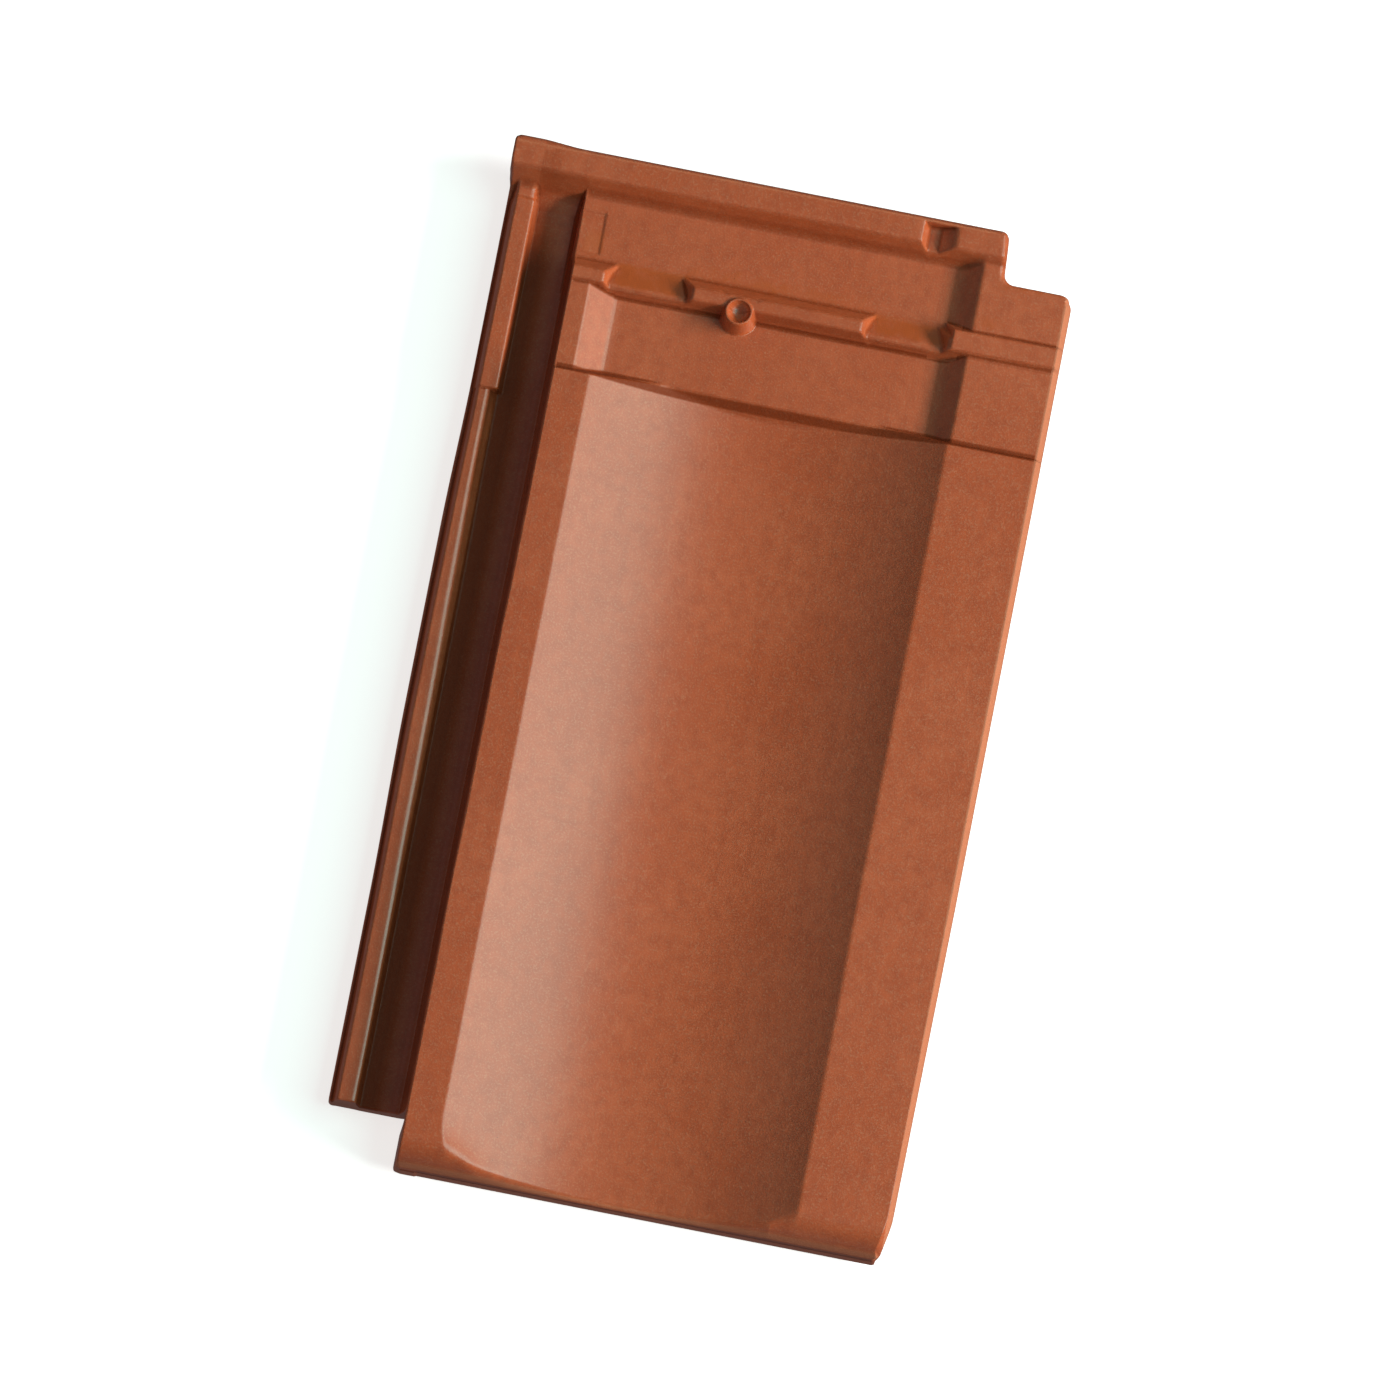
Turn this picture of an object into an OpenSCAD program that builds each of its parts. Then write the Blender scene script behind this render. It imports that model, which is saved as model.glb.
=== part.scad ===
// Interlocking clay roof tile with a single shallow trough, pressed and fired in one piece.
// The head is at +Y, the foot at -Y, the open side lock at -X and the covering side at +X.
// It rests on its two batten nibs and its foot rib, weather face up.
// Positions along the tile are counted from the head edge and across it from the left side.

/* [Overall] */

// Length from head edge to foot edge
tile_length = 467; // [455:1:485]
// Width from the left side to the right side
tile_width = 254.6; // [250:0.2:262]
// Height of the weather face above the plane the tile rests on
face_height = 34; // [31:0.5:42]
// Thickness of the clay under the weather face
clay_thickness = 11; // [8:0.5:12]

/* [Trough] */

// Position of the left edge of the trough
trough_left = 51; // [48:0.5:60]
// Width of the weather face to the right of the trough
right_border = 42.6; // [42:0.2:60]
// Depth of the trough below the weather face
trough_depth = 16; // [12:0.5:18]

/* [Head rib] */

// Width of the flat top of the head rib, along the tile
head_rib_width = 12.2; // [9:0.2:14]
// Run of the slope from the rib down to the lock floor
head_rib_slope = 4.8; // [2:0.1:8]
// Width of the corner notch at the right end of the head
notch_width = 32.8; // [31:0.2:37]
// Depth of the corner notch, from the head edge to the right strip
notch_depth = 22.6; // [18:0.2:30]
// Overhang of the flared left corner beyond the left side
flare_side = 1.6; // [0:0.1:2]
// Overhang of the flared left corner beyond the head edge
flare_head = 1.2; // [0:0.1:2]

/* [Drain notch] */

// Distance from the right end of the head rib to the middle of the drain notch
drain_inset = 30.2; // [22:0.2:100]
// Width of the drain notch at its floor
drain_floor_width = 7; // [4:0.2:12]
// Run of each sloping end of the drain notch
drain_slope = 4.4; // [2:0.2:8]
// Depth of the drain notch below the top of the head rib
drain_depth = 6; // [4:0.5:9]
// Thickness of the lip that closes the drain notch at the head edge
drain_lip = 2.2; // [1.5:0.1:4]

/* [Head lock] */

// Depth of the lock floor below the weather face
lock_floor_depth = 10.5; // [8:0.5:12]
// Drop of the head borders below the weather face
head_drop = 3.5; // [2:0.5:5]
// Position of the foot end of the lock floor, where the water step rises
water_step = 96.5; // [90:0.1:110]
// Run of the water step up to the weather face
step_run = 4.1; // [1:0.1:8]
// Run of the slope that carries the lock floor down into the trough
trough_ramp = 6; // [3:0.5:12]
// Run of the slope from the lock floor up to the right head border
floor_slope = 8.8; // [4:0.2:14]
// Distance from the head edge to the pad recessed in the lock floor
pad_start = 24; // [20:0.1:26]
// Length of the pad, along the tile
pad_length = 20; // [12:0.5:20]
// Width of the pad, from the channel's edge
pad_width = 9.6; // [6:0.1:18]
// Depth of the pad below the lock floor
pad_sink = 0.5; // [0.2:0.1:1]
// Width of the flat left border in the second part of the lock
lock_border_width = 7.6; // [5:0.2:10]
// Run of the slope beside that border
lock_border_slope = 13; // [6:0.2:18]

/* [Second rib] */

// Position of the head side of the second rib, at the lock floor
rib_start = 46.3; // [44.5:0.1:50]
// Run of the rib's slope towards the head
rib_head_slope = 6.4; // [2:0.1:8]
// Width of the flat top of the rib, along the tile
rib_top_width = 4.9; // [4:0.1:10]
// Run of the rib's slope towards the foot
rib_foot_slope = 3.7; // [2:0.1:6]
// Run of the right block's own slope towards the head, on the border
border_rib_slope = 2.4; // [1:0.1:6]
// Depth of the raised rib's top below the weather face
rib_top_depth = 1; // [0.5:0.1:2]
// Depth of the top of the low ridges below the weather face
ridge_depth = 5.5; // [4:0.5:8]
// Length of the rib's left block, across the tile
left_block = 13.1; // [10:0.1:18]
// Width of the window between the left block and the middle block
left_window = 40.5; // [30:0.5:48]
// Width of the window between the middle block and the right block
right_window = 41; // [30:0.2:50]
// Distance from the right block's end to the edge of the trough
right_block_reach = 6; // [2:0.1:7.5]
// Run of the sloping ends of the blocks
block_slope = 6; // [3:0.1:8]

/* [Fixing boss] */

// Position of the fixing boss across the tile
boss_across = 110.3; // [98:0.1:155]
// Position of the fixing boss along the tile
boss_along = 59.5; // [57:0.1:68]
// Radius of the top of the boss
boss_top_radius = 6.2; // [5.8:0.1:7]
// Radius of the boss where it meets the lock floor
boss_base_radius = 8.5; // [7.2:0.1:10]
// Depth of the boss's top below the weather face
boss_top_depth = 0.7; // [0.2:0.1:2]
// Radius of the round cup in the boss
cup_radius = 5.3; // [4:0.1:5.6]
// Depth of the cup's straight wall, above its round bottom
cup_wall_depth = 2.6; // [1.5:0.1:5]

/* [Left side lock] */

// Position of the left edge of the side channel's floor
channel_left = 14; // [13.2:0.1:18]
// Width of the side channel's floor
channel_width = 17.8; // [13:0.1:19]
// Depth of the channel's floor below the weather face
channel_depth = 20; // [16:0.5:21]
// Thickness of the clay under the channel
channel_thickness = 8.5; // [7:0.5:9]
// Run of the channel's right wall
channel_wall_run = 3.6; // [1:0.1:5]
// Thickness of the wall to the right of the channel
channel_wall = 9; // [7:0.5:12]
// Position of the left edge of the side rib's top
side_rib_left = 4; // [2:0.1:5]
// Width of the side rib's top
side_rib_width = 8; // [5:0.1:9]
// Depth of the side rib's top below the weather face
side_rib_depth = 12; // [11:0.1:14]
// Depth of the side rib's first part below its second
side_rib_sink = 0.5; // [0.2:0.1:1]
// Position where the second part starts
side_rib_lead = 24; // [20:0.2:30]
// Drop of the third part, which runs to the foot
side_rib_drop = 1.3; // [0.5:0.1:2]
// How much narrower the top of the third part is
side_rib_slim = 2.4; // [0:0.2:4]
// Position where the third part starts
side_rib_step = 112; // [104:0.5:124]
// Position of the head end of the side channel
channel_start = 17; // [16:0.1:20]
// Depth of the channel at its head end, below the weather face
channel_head_depth = 16; // [12:0.5:18]
// Run of the ramp from there down to the channel's floor
channel_head_run = 7.6; // [3:0.2:12]
// Distance by which the side lock stops short of the foot
lock_short = 24.4; // [20:0.2:40]

/* [Right side cover] */

// Bevel along the top of the right edge, across the tile
edge_bevel = 2.4; // [1:0.1:4]
// Draft of the right side, from its widest line down
side_draft = 1.8; // [0.5:0.1:3]
// Width of the rib that stands in the neighbouring tile's channel
cover_rib_width = 12.2; // [9:0.2:13]
// Clearance of that rib above the neighbour's channel floor
cover_rib_clearance = 2.5; // [1.5:0.1:5]
// Width of the groove that takes the neighbour's side rib
cover_groove_width = 13.5; // [11.5:0.1:14]
// Clearance of the groove above the neighbour's side rib
cover_groove_clearance = 1.5; // [1:0.1:2.5]
// Width of the inner rib beside the groove
inner_rib_width = 11; // [8:0.2:12]
// Depth of the inner rib below the weather face
inner_rib_depth = 16; // [14:0.5:20]

/* [Foot] */

// Run of the rounded nose at the foot
nose_run = 12.5; // [8:0.5:18]
// Drop of the rounded nose at the foot
nose_drop = 19; // [16:0.5:21]
// Set-back of the strip under the nose
strip_setback = 0.4; // [0.2:0.1:1.5]
// Depth of the foot's front strip below the weather face
foot_depth = 28.5; // [24:0.5:30]
// Thickness of the front strip
strip_thickness = 9; // [7:0.5:12]
// Width of the lug at the left end of the strip
lug_width = 8; // [4:0.5:14]
// Length of the taper at the right foot corner
taper_length = 17; // [8:1:24]
// Set-in of the taper at the right foot corner
taper_width = 4; // [2:0.2:6]
// Part of the taper that the right side has already drawn in where the corner's taper starts
side_narrowing = 0.9; // [0:0.1:1.5]
// Distance from the foot at which the right side starts to draw in
narrowing_length = 160; // [60:5:240]

/* [Underside] */

// Width of each batten nib
nib_width = 44; // [30:1:50]
// Thickness of each batten nib, along the tile
nib_thickness = 13; // [10:0.5:18]
// Distance from the head edge to the face that hooks over the batten
nib_hook = 30; // [26:0.5:36]
// Distance from each edge of the trough to the middle of the nib beside it
nib_inset = 22; // [20:0.5:34]
// Draft of the nib's back and ends
nib_draft = 3; // [1:0.2:5]
// Distance from the foot to the far side of the rib the tile rests on
foot_rib_inset = 32; // [28:0.5:50]
// Width of the foot rib, along the tile
foot_rib_width = 12; // [8:0.5:14]

/* [Hidden] */

$fn = 64;

// depth of the deepest part of the side lock
lock_depth = channel_depth + channel_thickness;
// trough across the tile, and its middle
trough_right = tile_width - right_border;
trough_width = trough_right - trough_left;
trough_middle = trough_left + trough_width / 2;
// radius of the trough from its width and its depth
trough_radius = (pow(trough_width / 2, 2) + pow(trough_depth, 2)) / (2 * trough_depth);
channel_right = channel_left + channel_width;
// left edge of the weather face, above the channel's right wall
face_left = channel_right + channel_wall_run;
// back of the wall between the channel and the space under the weather face
channel_back = channel_right + channel_wall;
side_rib_right = side_rib_left + side_rib_width;
// width of slope on the channel side of the side rib
shoulder = channel_left - side_rib_right;
// underside of the head lock
lock_under = lock_floor_depth + clay_thickness;
// head lock across the tile, from the floor's right edge to the notch
floor_right = trough_right - floor_slope + 1;
head_right = tile_width - notch_width;
drain_centre = head_right - drain_inset;
lock_end = tile_length - lock_short;
// ends of the second rib's blocks, at their tops
left_block_end = face_left + left_block;
middle_block_start = left_block_end + left_window;
right_block_start = trough_right - right_block_reach;
middle_block_end = right_block_start - right_window;
foot_rib_start = tile_length - foot_rib_inset;
// positions under the right border, counted from the right side
cover_rib_left = tile_width - side_draft - cover_rib_width;
groove_left = cover_rib_left - cover_groove_width;
inner_rib_left = groove_left - inner_rib_width;
cover_rib_depth = channel_depth - cover_rib_clearance;
groove_depth = side_rib_depth - cover_groove_clearance;
// run of the bevel along the head edge, and radii of the corners seen from above
head_bevel = 1.7;
head_corner = 4;
notch_corner = 5;
strip_corner = 6;
foot_corner = 2.5;
lock_corner = 2;
// reach past a face, so that a cut leaves no skin
over = 1;

// Points on a circle about [cx, cy] from angle a0 to angle a1.
function arc_points(cx, cy, r, a0, a1, steps = 5) =
    [for (i = [0:steps])
        let (a = a0 + (a1 - a0) * i / steps)
        [cx + r * cos(a), cy + r * sin(a)]];

// Points on the quarter ellipse of the nose, from the weather face down to the strip.
function nose_points(steps = 9) =
    [for (i = [0:steps])
        let (a = 90 - 90 * i / steps)
        [tile_length - nose_run + nose_run * cos(a), -nose_drop + nose_drop * sin(a)]];

// Extrudes a section drawn as [across, height] from one position along the tile to another.
module along(from, to) {
    translate([0, -from, 0])
        rotate([90, 0, 0])
            linear_extrude(to - from)
                children();
}

// Extrudes a profile drawn as [along, height] from one position across the tile to another.
module across(from, to) {
    translate([to, 0, 0])
        rotate([90, 0, -90])
            linear_extrude(to - from)
                children();
}

// Outline of the whole tile seen from above, as a block to cut everything else to.
module plan_block() {
    // the notch's wall leans out a little towards its inner corner
    notch_inner = head_right + 1;
    foot_right = tile_width - taper_width;
    foot_left = face_left + 0.4;
    translate([0, 0, -face_height - over])
        linear_extrude(face_height + 2 * over)
            polygon(concat(
                arc_points(foot_corner - flare_side, flare_head - foot_corner, foot_corner, 180, 90),
                [[9, flare_head], [16, 0.2], [30, 0]],
                arc_points(head_right - head_corner, -head_corner, head_corner, 90, 0),
                arc_points(notch_inner + notch_corner, notch_corner - notch_depth, notch_corner, 180, 270),
                arc_points(tile_width - strip_corner, -notch_depth - strip_corner, strip_corner, 90, 0),
                [[tile_width, narrowing_length - tile_length]],
                [[tile_width - side_narrowing, taper_length - tile_length]],
                arc_points(foot_right - lock_corner, lock_corner - tile_length, lock_corner, -15, -90, 3),
                arc_points(foot_left + foot_corner, foot_corner - tile_length, foot_corner, -90, -180, 4),
                [[foot_left - 0.3, -lock_end]],
                arc_points(lock_corner, lock_corner - lock_end, lock_corner, -90, -180, 3),
                [[0, -channel_start - 1], [-flare_side, -10]]
            ));
}

// Section of the side lock: outer flank, side rib and water channel. Slim narrows the rib from its right.
module side_lock_section(rib_depth, slim = 0) {
    polygon([
        [0.6, -lock_depth],
        [0, -lock_depth + 2.5],
        [side_rib_left, -rib_depth],
        [side_rib_right - slim, -rib_depth],
        [side_rib_right - slim / 2 + shoulder / 2, -rib_depth - 2.2],
        [channel_left, -channel_depth],
        [channel_right, -channel_depth],
        [face_left, -lock_floor_depth],
        [channel_back, -lock_floor_depth],
        [channel_back, -lock_depth]
    ]);
}

// Right edge of a section, from the top of its border round to the cover groove.
function cover_points(border_depth) = [
    [tile_width - edge_bevel, -border_depth],
    [tile_width - 0.4, -border_depth - 3],
    [tile_width, -border_depth - 6],
    [tile_width - side_draft, -cover_rib_depth],
    [cover_rib_left + 1, -cover_rib_depth],
    [cover_rib_left, -groove_depth],
    [groove_left, -groove_depth]
];

// Section of the weather face and the right cover, before the trough is cut.
module face_section() {
    polygon(concat(
        [[face_left - 0.8, -lock_floor_depth - 3], [face_left, 0]],
        cover_points(0),
        [
            [groove_left - 1, -inner_rib_depth],
            [inner_rib_left, -inner_rib_depth],
            [inner_rib_left - 1, -foot_depth],
            [channel_right + 4, -foot_depth]
        ]
    ));
}

// Section of the head lock's slab, with its floor and the slope up to the right border.
module head_section() {
    polygon(concat(
        [
            [channel_right - 2, -lock_under],
            [channel_right, -channel_depth],
            [face_left, -lock_floor_depth],
            [floor_right, -lock_floor_depth],
            [floor_right + floor_slope, -head_drop]
        ],
        cover_points(head_drop),
        [[groove_left - 1, -lock_under]]
    ));
}

// Right border of the head lock, carried on under the water step's slope.
module lock_right_border() {
    polygon([
        [floor_right, -lock_floor_depth],
        [floor_right + floor_slope, -head_drop],
        [tile_width - edge_bevel, -head_drop],
        [tile_width - edge_bevel, -lock_floor_depth]
    ]);
}

// Rib that crosses the head, with its bevelled edge and its slope to the lock floor.
module head_rib() {
    across(-flare_side, head_right)
        polygon([
            [-flare_head, -lock_under],
            [-flare_head, -1.5],
            [head_bevel - flare_head, 0],
            [head_rib_width, 0],
            [head_rib_width + head_rib_slope, -lock_floor_depth],
            [head_rib_width + head_rib_slope, -lock_under]
        ]);
}

// Notch in the head rib that lets water back onto the lock floor, closed at the head edge by a lip.
module drain_notch() {
    half = drain_floor_width / 2;
    rise = drain_slope / drain_depth;
    along(drain_lip, head_rib_width + head_rib_slope + over)
        polygon([
            [drain_centre - half, -drain_depth],
            [drain_centre + half, -drain_depth],
            [drain_centre + half + rise * (drain_depth + over), over],
            [drain_centre - half - rise * (drain_depth + over), over]
        ]);
}

// Left border in the second part of the lock, with its broad slope to the floor.
module lock_border() {
    slope_left = face_left + lock_border_width;
    along(rib_start + rib_head_slope, water_step + step_run)
        polygon([
            [face_left - 0.6, -lock_floor_depth - 2],
            [face_left, -head_drop],
            [slope_left, -head_drop],
            [slope_left + lock_border_slope, -lock_floor_depth],
            [slope_left + lock_border_slope, -lock_floor_depth - 2]
        ]);
}

// Second rib at its full height, from the channel to the right side.
module rib_profile() {
    top = rib_start + rib_head_slope;
    polygon([
        [rib_start, -lock_floor_depth - 1],
        [rib_start, -lock_floor_depth],
        [top, -rib_top_depth],
        [top + rib_top_width, -rib_top_depth],
        [top + rib_top_width + rib_foot_slope, -lock_floor_depth],
        [top + rib_top_width + rib_foot_slope, -lock_floor_depth - 1]
    ]);
}

// One window in the rib between two blocks, drawn as [across, height].
module rib_window(from, to) {
    rise = block_slope / (lock_floor_depth - rib_top_depth);
    along(rib_start - over, rib_start + 20)
        polygon([
            [from + block_slope, -lock_floor_depth],
            [to - block_slope, -lock_floor_depth],
            [to + rise, -rib_top_depth + over],
            [from - rise, -rib_top_depth + over]
        ]);
}

// Low ridge that closes each window, steep to the foot and gentle to the head.
module low_ridge(from, to) {
    foot = rib_start + rib_head_slope + rib_top_width + rib_foot_slope;
    slope = rib_foot_slope / (lock_floor_depth - rib_top_depth);
    crest = foot - slope * (lock_floor_depth - ridge_depth);
    across(from, to)
        polygon([
            [rib_start, -lock_floor_depth],
            [crest - 2.7, -ridge_depth],
            [crest, -ridge_depth],
            [foot, -lock_floor_depth],
            [foot, -lock_floor_depth - 1],
            [rib_start, -lock_floor_depth - 1]
        ]);
}

// Head part of the right block, broader on the border than the rib is elsewhere.
module border_rib() {
    across(right_block_start + block_slope / 2, tile_width - edge_bevel)
        polygon([
            [rib_start, -head_drop],
            [rib_start + border_rib_slope, -rib_top_depth],
            [rib_start + rib_head_slope + 1, -rib_top_depth],
            [rib_start + rib_head_slope + 1, -lock_floor_depth],
            [rib_start, -lock_floor_depth]
        ]);
}

// Second rib with its blocks, windows and low ridges.
module second_rib() {
    difference() {
        across(face_left, tile_width - edge_bevel)
            rib_profile();
        rib_window(left_block_end, middle_block_start);
        rib_window(middle_block_end, right_block_start);
    }
    low_ridge(left_block_end, middle_block_start);
    low_ridge(middle_block_end, right_block_start);
    border_rib();
}

// Boss that stands on the lock floor against the second rib.
module boss() {
    height = lock_floor_depth - boss_top_depth;
    translate([boss_across, -boss_along, -lock_floor_depth - 1])
        cylinder(h = 1, r = boss_base_radius);
    translate([boss_across, -boss_along, -lock_floor_depth])
        cylinder(h = height, r1 = boss_base_radius, r2 = boss_top_radius);
}

// Cup in the top of the boss, a straight wall over a hemispherical bottom.
module boss_cup() {
    translate([boss_across, -boss_along, -boss_top_depth - cup_wall_depth])
        cylinder(h = cup_wall_depth + boss_top_depth + over, r = cup_radius);
    translate([boss_across, -boss_along, -boss_top_depth - cup_wall_depth])
        sphere(r = cup_radius);
}

// Shallow rectangular recess in the lock floor beside the side channel.
module floor_pad() {
    translate([channel_right, -pad_start - pad_length, -lock_floor_depth - pad_sink])
        cube([face_left - channel_right + pad_width, pad_length, pad_sink + over]);
}

// Side lock along the left of the tile, in its two heights.
module side_lock() {
    along(channel_start, side_rib_lead)
        side_lock_section(side_rib_depth + side_rib_sink);
    along(side_rib_lead, side_rib_step)
        side_lock_section(side_rib_depth);
    along(side_rib_step, lock_end)
        side_lock_section(side_rib_depth + side_rib_drop, side_rib_slim);
    channel_head();
}

// Closed head end of the side channel, where the head rib's slope meets its floor.
module channel_head() {
    slope = head_rib_slope / lock_floor_depth;
    sill = channel_start + slope * (channel_head_depth - lock_floor_depth);
    across(-flare_side, channel_left)
        polygon([
            [-flare_head, -3],
            [head_rib_width, -3],
            [head_rib_width + slope * (side_rib_depth - 3), -side_rib_depth],
            [channel_start + 1, -side_rib_depth],
            [channel_start + 1, -lock_under],
            [-flare_head, -lock_under]
        ]);
    across(channel_left - 4, channel_back)
        polygon([
            [head_rib_width, -3],
            [channel_start - slope, -lock_floor_depth],
            [sill, -channel_head_depth],
            [sill + channel_head_run, -channel_depth],
            [sill + channel_head_run, -channel_depth - 1],
            [head_rib_width, -lock_depth]
        ]);
}

// Weather face with the trough cut into it and hollowed to an even thickness below.
module weather_face() {
    length = tile_length - water_step;
    difference() {
        along(water_step, tile_length)
            face_section();
        translate([trough_middle, -water_step + over, trough_radius - trough_depth])
            rotate([90, 0, 0])
                cylinder(h = length + 2 * over, r = trough_radius, $fn = 200);
        face_hollow();
        step_slope();
    }
}

// Space under the weather face, down to the thickness of the clay.
module face_hollow() {
    difference() {
        along(water_step - over, tile_length - strip_thickness)
            polygon([
                [channel_back + 1.5, -clay_thickness],
                [inner_rib_left - 1.5, -clay_thickness],
                [inner_rib_left, -inner_rib_depth],
                [inner_rib_left, -face_height],
                [channel_back, -face_height]
            ]);
        translate([trough_middle, -water_step + 2 * over, trough_radius - trough_depth])
            rotate([90, 0, 0])
                cylinder(h = tile_length, r = trough_radius + clay_thickness, $fn = 200);
    }
}

// Wedge that gives the water step its slope towards the head.
module step_slope() {
    rise = step_run / lock_floor_depth;
    across(-over, tile_width + over)
        polygon([
            [water_step - over, over],
            [water_step + step_run + rise * over, over],
            [water_step, -lock_floor_depth],
            [water_step - over, -lock_floor_depth]
        ]);
}

// Slab of the head lock, with the ramp that runs out into the trough.
module head_lock() {
    run = trough_depth - lock_floor_depth;
    along(0, water_step)
        head_section();
    along(water_step, water_step + step_run)
        lock_right_border();
    across(trough_left, trough_right)
        polygon([
            [water_step, -lock_floor_depth],
            [water_step + trough_ramp, -lock_floor_depth - run],
            [water_step + 12, -lock_floor_depth - run - 1],
            [water_step + 12, -lock_under],
            [water_step, -lock_under]
        ]);
}

// Front strip under the right border, which closes the cover groove at the foot.
module cover_strip() {
    across(inner_rib_left - 2, tile_width - side_draft)
        polygon([
            [tile_length - strip_thickness, -groove_depth + 1],
            [tile_length, -groove_depth + 1],
            [tile_length, -foot_depth],
            [tile_length - strip_thickness, -foot_depth]
        ]);
}

// Lug at the left end of the front strip, flush with the nose above it.
module strip_lug() {
    translate([face_left, -tile_length, -foot_depth])
        cube([lug_width, strip_setback + over, foot_depth - nose_drop]);
}

// Rounded nose and front strip, as the block that everything at the foot is cut to.
module foot_block() {
    across(-flare_side - over, tile_width + over)
        polygon(concat(
            [[-flare_head - over, -face_height - over], [-flare_head - over, over]],
            [[tile_length - nose_run, over]],
            nose_points(),
            [
                [tile_length - strip_setback, -nose_drop - 0.8],
                [tile_length - strip_setback, -foot_depth],
                [tile_length - strip_thickness, -foot_depth],
                [tile_length - strip_thickness, -face_height - over]
            ]
        ));
}

// One batten nib, square towards the foot so that it hooks over a batten.
module nib(centre) {
    half = nib_width / 2;
    back = nib_hook - nib_thickness;
    intersection() {
        across(centre - half, centre + half)
            polygon([
                [back, -lock_under + 1],
                [nib_hook, -lock_under + 1],
                [nib_hook, -face_height],
                [back + nib_draft, -face_height]
            ]);
        along(back - over, nib_hook + over)
            polygon([
                [centre - half, -lock_under + 1],
                [centre + half, -lock_under + 1],
                [centre + half - nib_draft, -face_height],
                [centre - half + nib_draft, -face_height]
            ]);
    }
}

// Rib across the underside near the foot, with a flat sole.
module foot_rib() {
    across(channel_back + 3, inner_rib_left - 3)
        polygon([
            [foot_rib_start - 2, -clay_thickness + 1],
            [foot_rib_start, -face_height],
            [foot_rib_start + foot_rib_width, -face_height],
            [foot_rib_start + foot_rib_width + 2, -clay_thickness + 1]
        ]);
}

// Foot rib kept below the trough.
module foot_rib_under_trough() {
    difference() {
        foot_rib();
        translate([trough_middle, -foot_rib_start + 4, trough_radius - trough_depth])
            rotate([90, 0, 0])
                cylinder(h = foot_rib_width + 8, r = trough_radius + 2, $fn = 200);
    }
}

// Everything the press forms, before its outline and its foot are cut.
module tile_body() {
    weather_face();
    head_lock();
    side_lock();
    lock_border();
    head_rib();
    second_rib();
    boss();
    foot_rib_under_trough();
    cover_strip();
    nib(trough_left + nib_inset);
    nib(trough_right - nib_inset);
}

// The whole tile in one piece of fired clay.
module roof_tile() {
    translate([-(tile_width - flare_side) / 2, (tile_length - flare_head) / 2, face_height])
        color("#a6583c")
            difference() {
                intersection() {
                    union() {
                        intersection() {
                            tile_body();
                            foot_block();
                        }
                        strip_lug();
                    }
                    plan_block();
                }
                drain_notch();
                boss_cup();
                floor_pad();
            }
}

roof_tile();
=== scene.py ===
"""Looks of an interlocking clay roof tile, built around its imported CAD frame.

Places on the tile are given in millimetres as u, across it from its left side, v, along it from its head edge,
and z, above its weather face. One function turns them into metres in the frame of the CAD.
"""

import logging
import math
from collections.abc import Sequence
from dataclasses import dataclass, field
from enum import Enum

import bpy
import numpy as np
from mathutils import Matrix, Vector


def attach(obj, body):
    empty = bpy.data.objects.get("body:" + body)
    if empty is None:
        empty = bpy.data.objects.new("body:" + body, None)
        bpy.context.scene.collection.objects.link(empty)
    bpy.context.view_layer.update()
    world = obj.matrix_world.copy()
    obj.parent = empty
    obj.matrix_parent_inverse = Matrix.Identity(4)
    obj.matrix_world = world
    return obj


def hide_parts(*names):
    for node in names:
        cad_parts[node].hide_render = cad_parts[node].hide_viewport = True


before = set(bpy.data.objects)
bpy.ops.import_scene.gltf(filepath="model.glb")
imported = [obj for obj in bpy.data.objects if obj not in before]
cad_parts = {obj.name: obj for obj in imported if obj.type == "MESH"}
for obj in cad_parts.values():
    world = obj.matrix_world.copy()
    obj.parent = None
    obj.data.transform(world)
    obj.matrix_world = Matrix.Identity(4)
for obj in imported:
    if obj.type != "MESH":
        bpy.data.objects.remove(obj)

log = logging.getLogger("roof_tile")
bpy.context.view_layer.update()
MM = 0.001
# places nearer to each other than this are the same, in millimetres
TOUCH = 1e-6
# slow drift of pressed clay: for each wave its turn per millimetre across and along, and its phase
DRIFT_WAVES = ((0.039, 0.021, 0.0), (-0.027, 0.055, 1.7), (0.083, 0.034, 3.1), (0.061, -0.112, 4.4))
# what the waves' sum is divided by, to lie between about -1 and 1
DRIFT_RANGE = 2.2
# where along the tile the bow of its left side begins, is full, begins to ebb and has gone
BOW_ROWS = (105.0, 175.0, 260.0, 345.0)


class Side(Enum):
    """The eight sides of the tile's outline, in the order in which a walk from its head left corner meets them."""

    HEAD = 0
    NOTCH_WALL = 1
    NOTCH_HEAD = 2
    RIGHT = 3
    FOOT = 4
    FOOT_WALL = 5
    LOCK_END = 6
    LEFT = 7


# ---------------------------------------------------------------- shapes of heights


def ramp(x: np.ndarray, start: float, end: float, low: float = 0.0, high: float = 1.0) -> np.ndarray:
    """Straight run between two heights, level outside it.

    Args:
        x: Places along the run.
        start: Place where the run leaves the first height.
        end: Place where it reaches the second.
        low: First height.
        high: Second height.

    Returns:
        low + (high - low) * ((x - start) / (end - start) held between 0 and 1).
    """
    return low + (high - low) * np.clip((x - start) / (end - start), 0.0, 1.0)


def ease(x: np.ndarray, start: float, end: float) -> np.ndarray:
    """Run from 0 to 1 with soft ends: 3 t^2 - 2 t^3 of the straight run t."""
    t = ramp(x, start, end)
    return t * t * (3.0 - 2.0 * t)


def window(x: np.ndarray, start: float, end: float, soft: float) -> np.ndarray:
    """One between two places and zero outside, each flank a straight run of the given width inside the window."""
    return ramp(x, start, start + soft) * ramp(x, end, end - soft)


def soft_max(a: np.ndarray, b: np.ndarray, blend: float) -> np.ndarray:
    """Larger of two heights with a fillet: max(a, b) + max(k - |a - b|, 0)^2 / (4 k)."""
    return np.maximum(a, b) + np.maximum(blend - np.abs(a - b), 0.0) ** 2 / (4.0 * blend)


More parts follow.
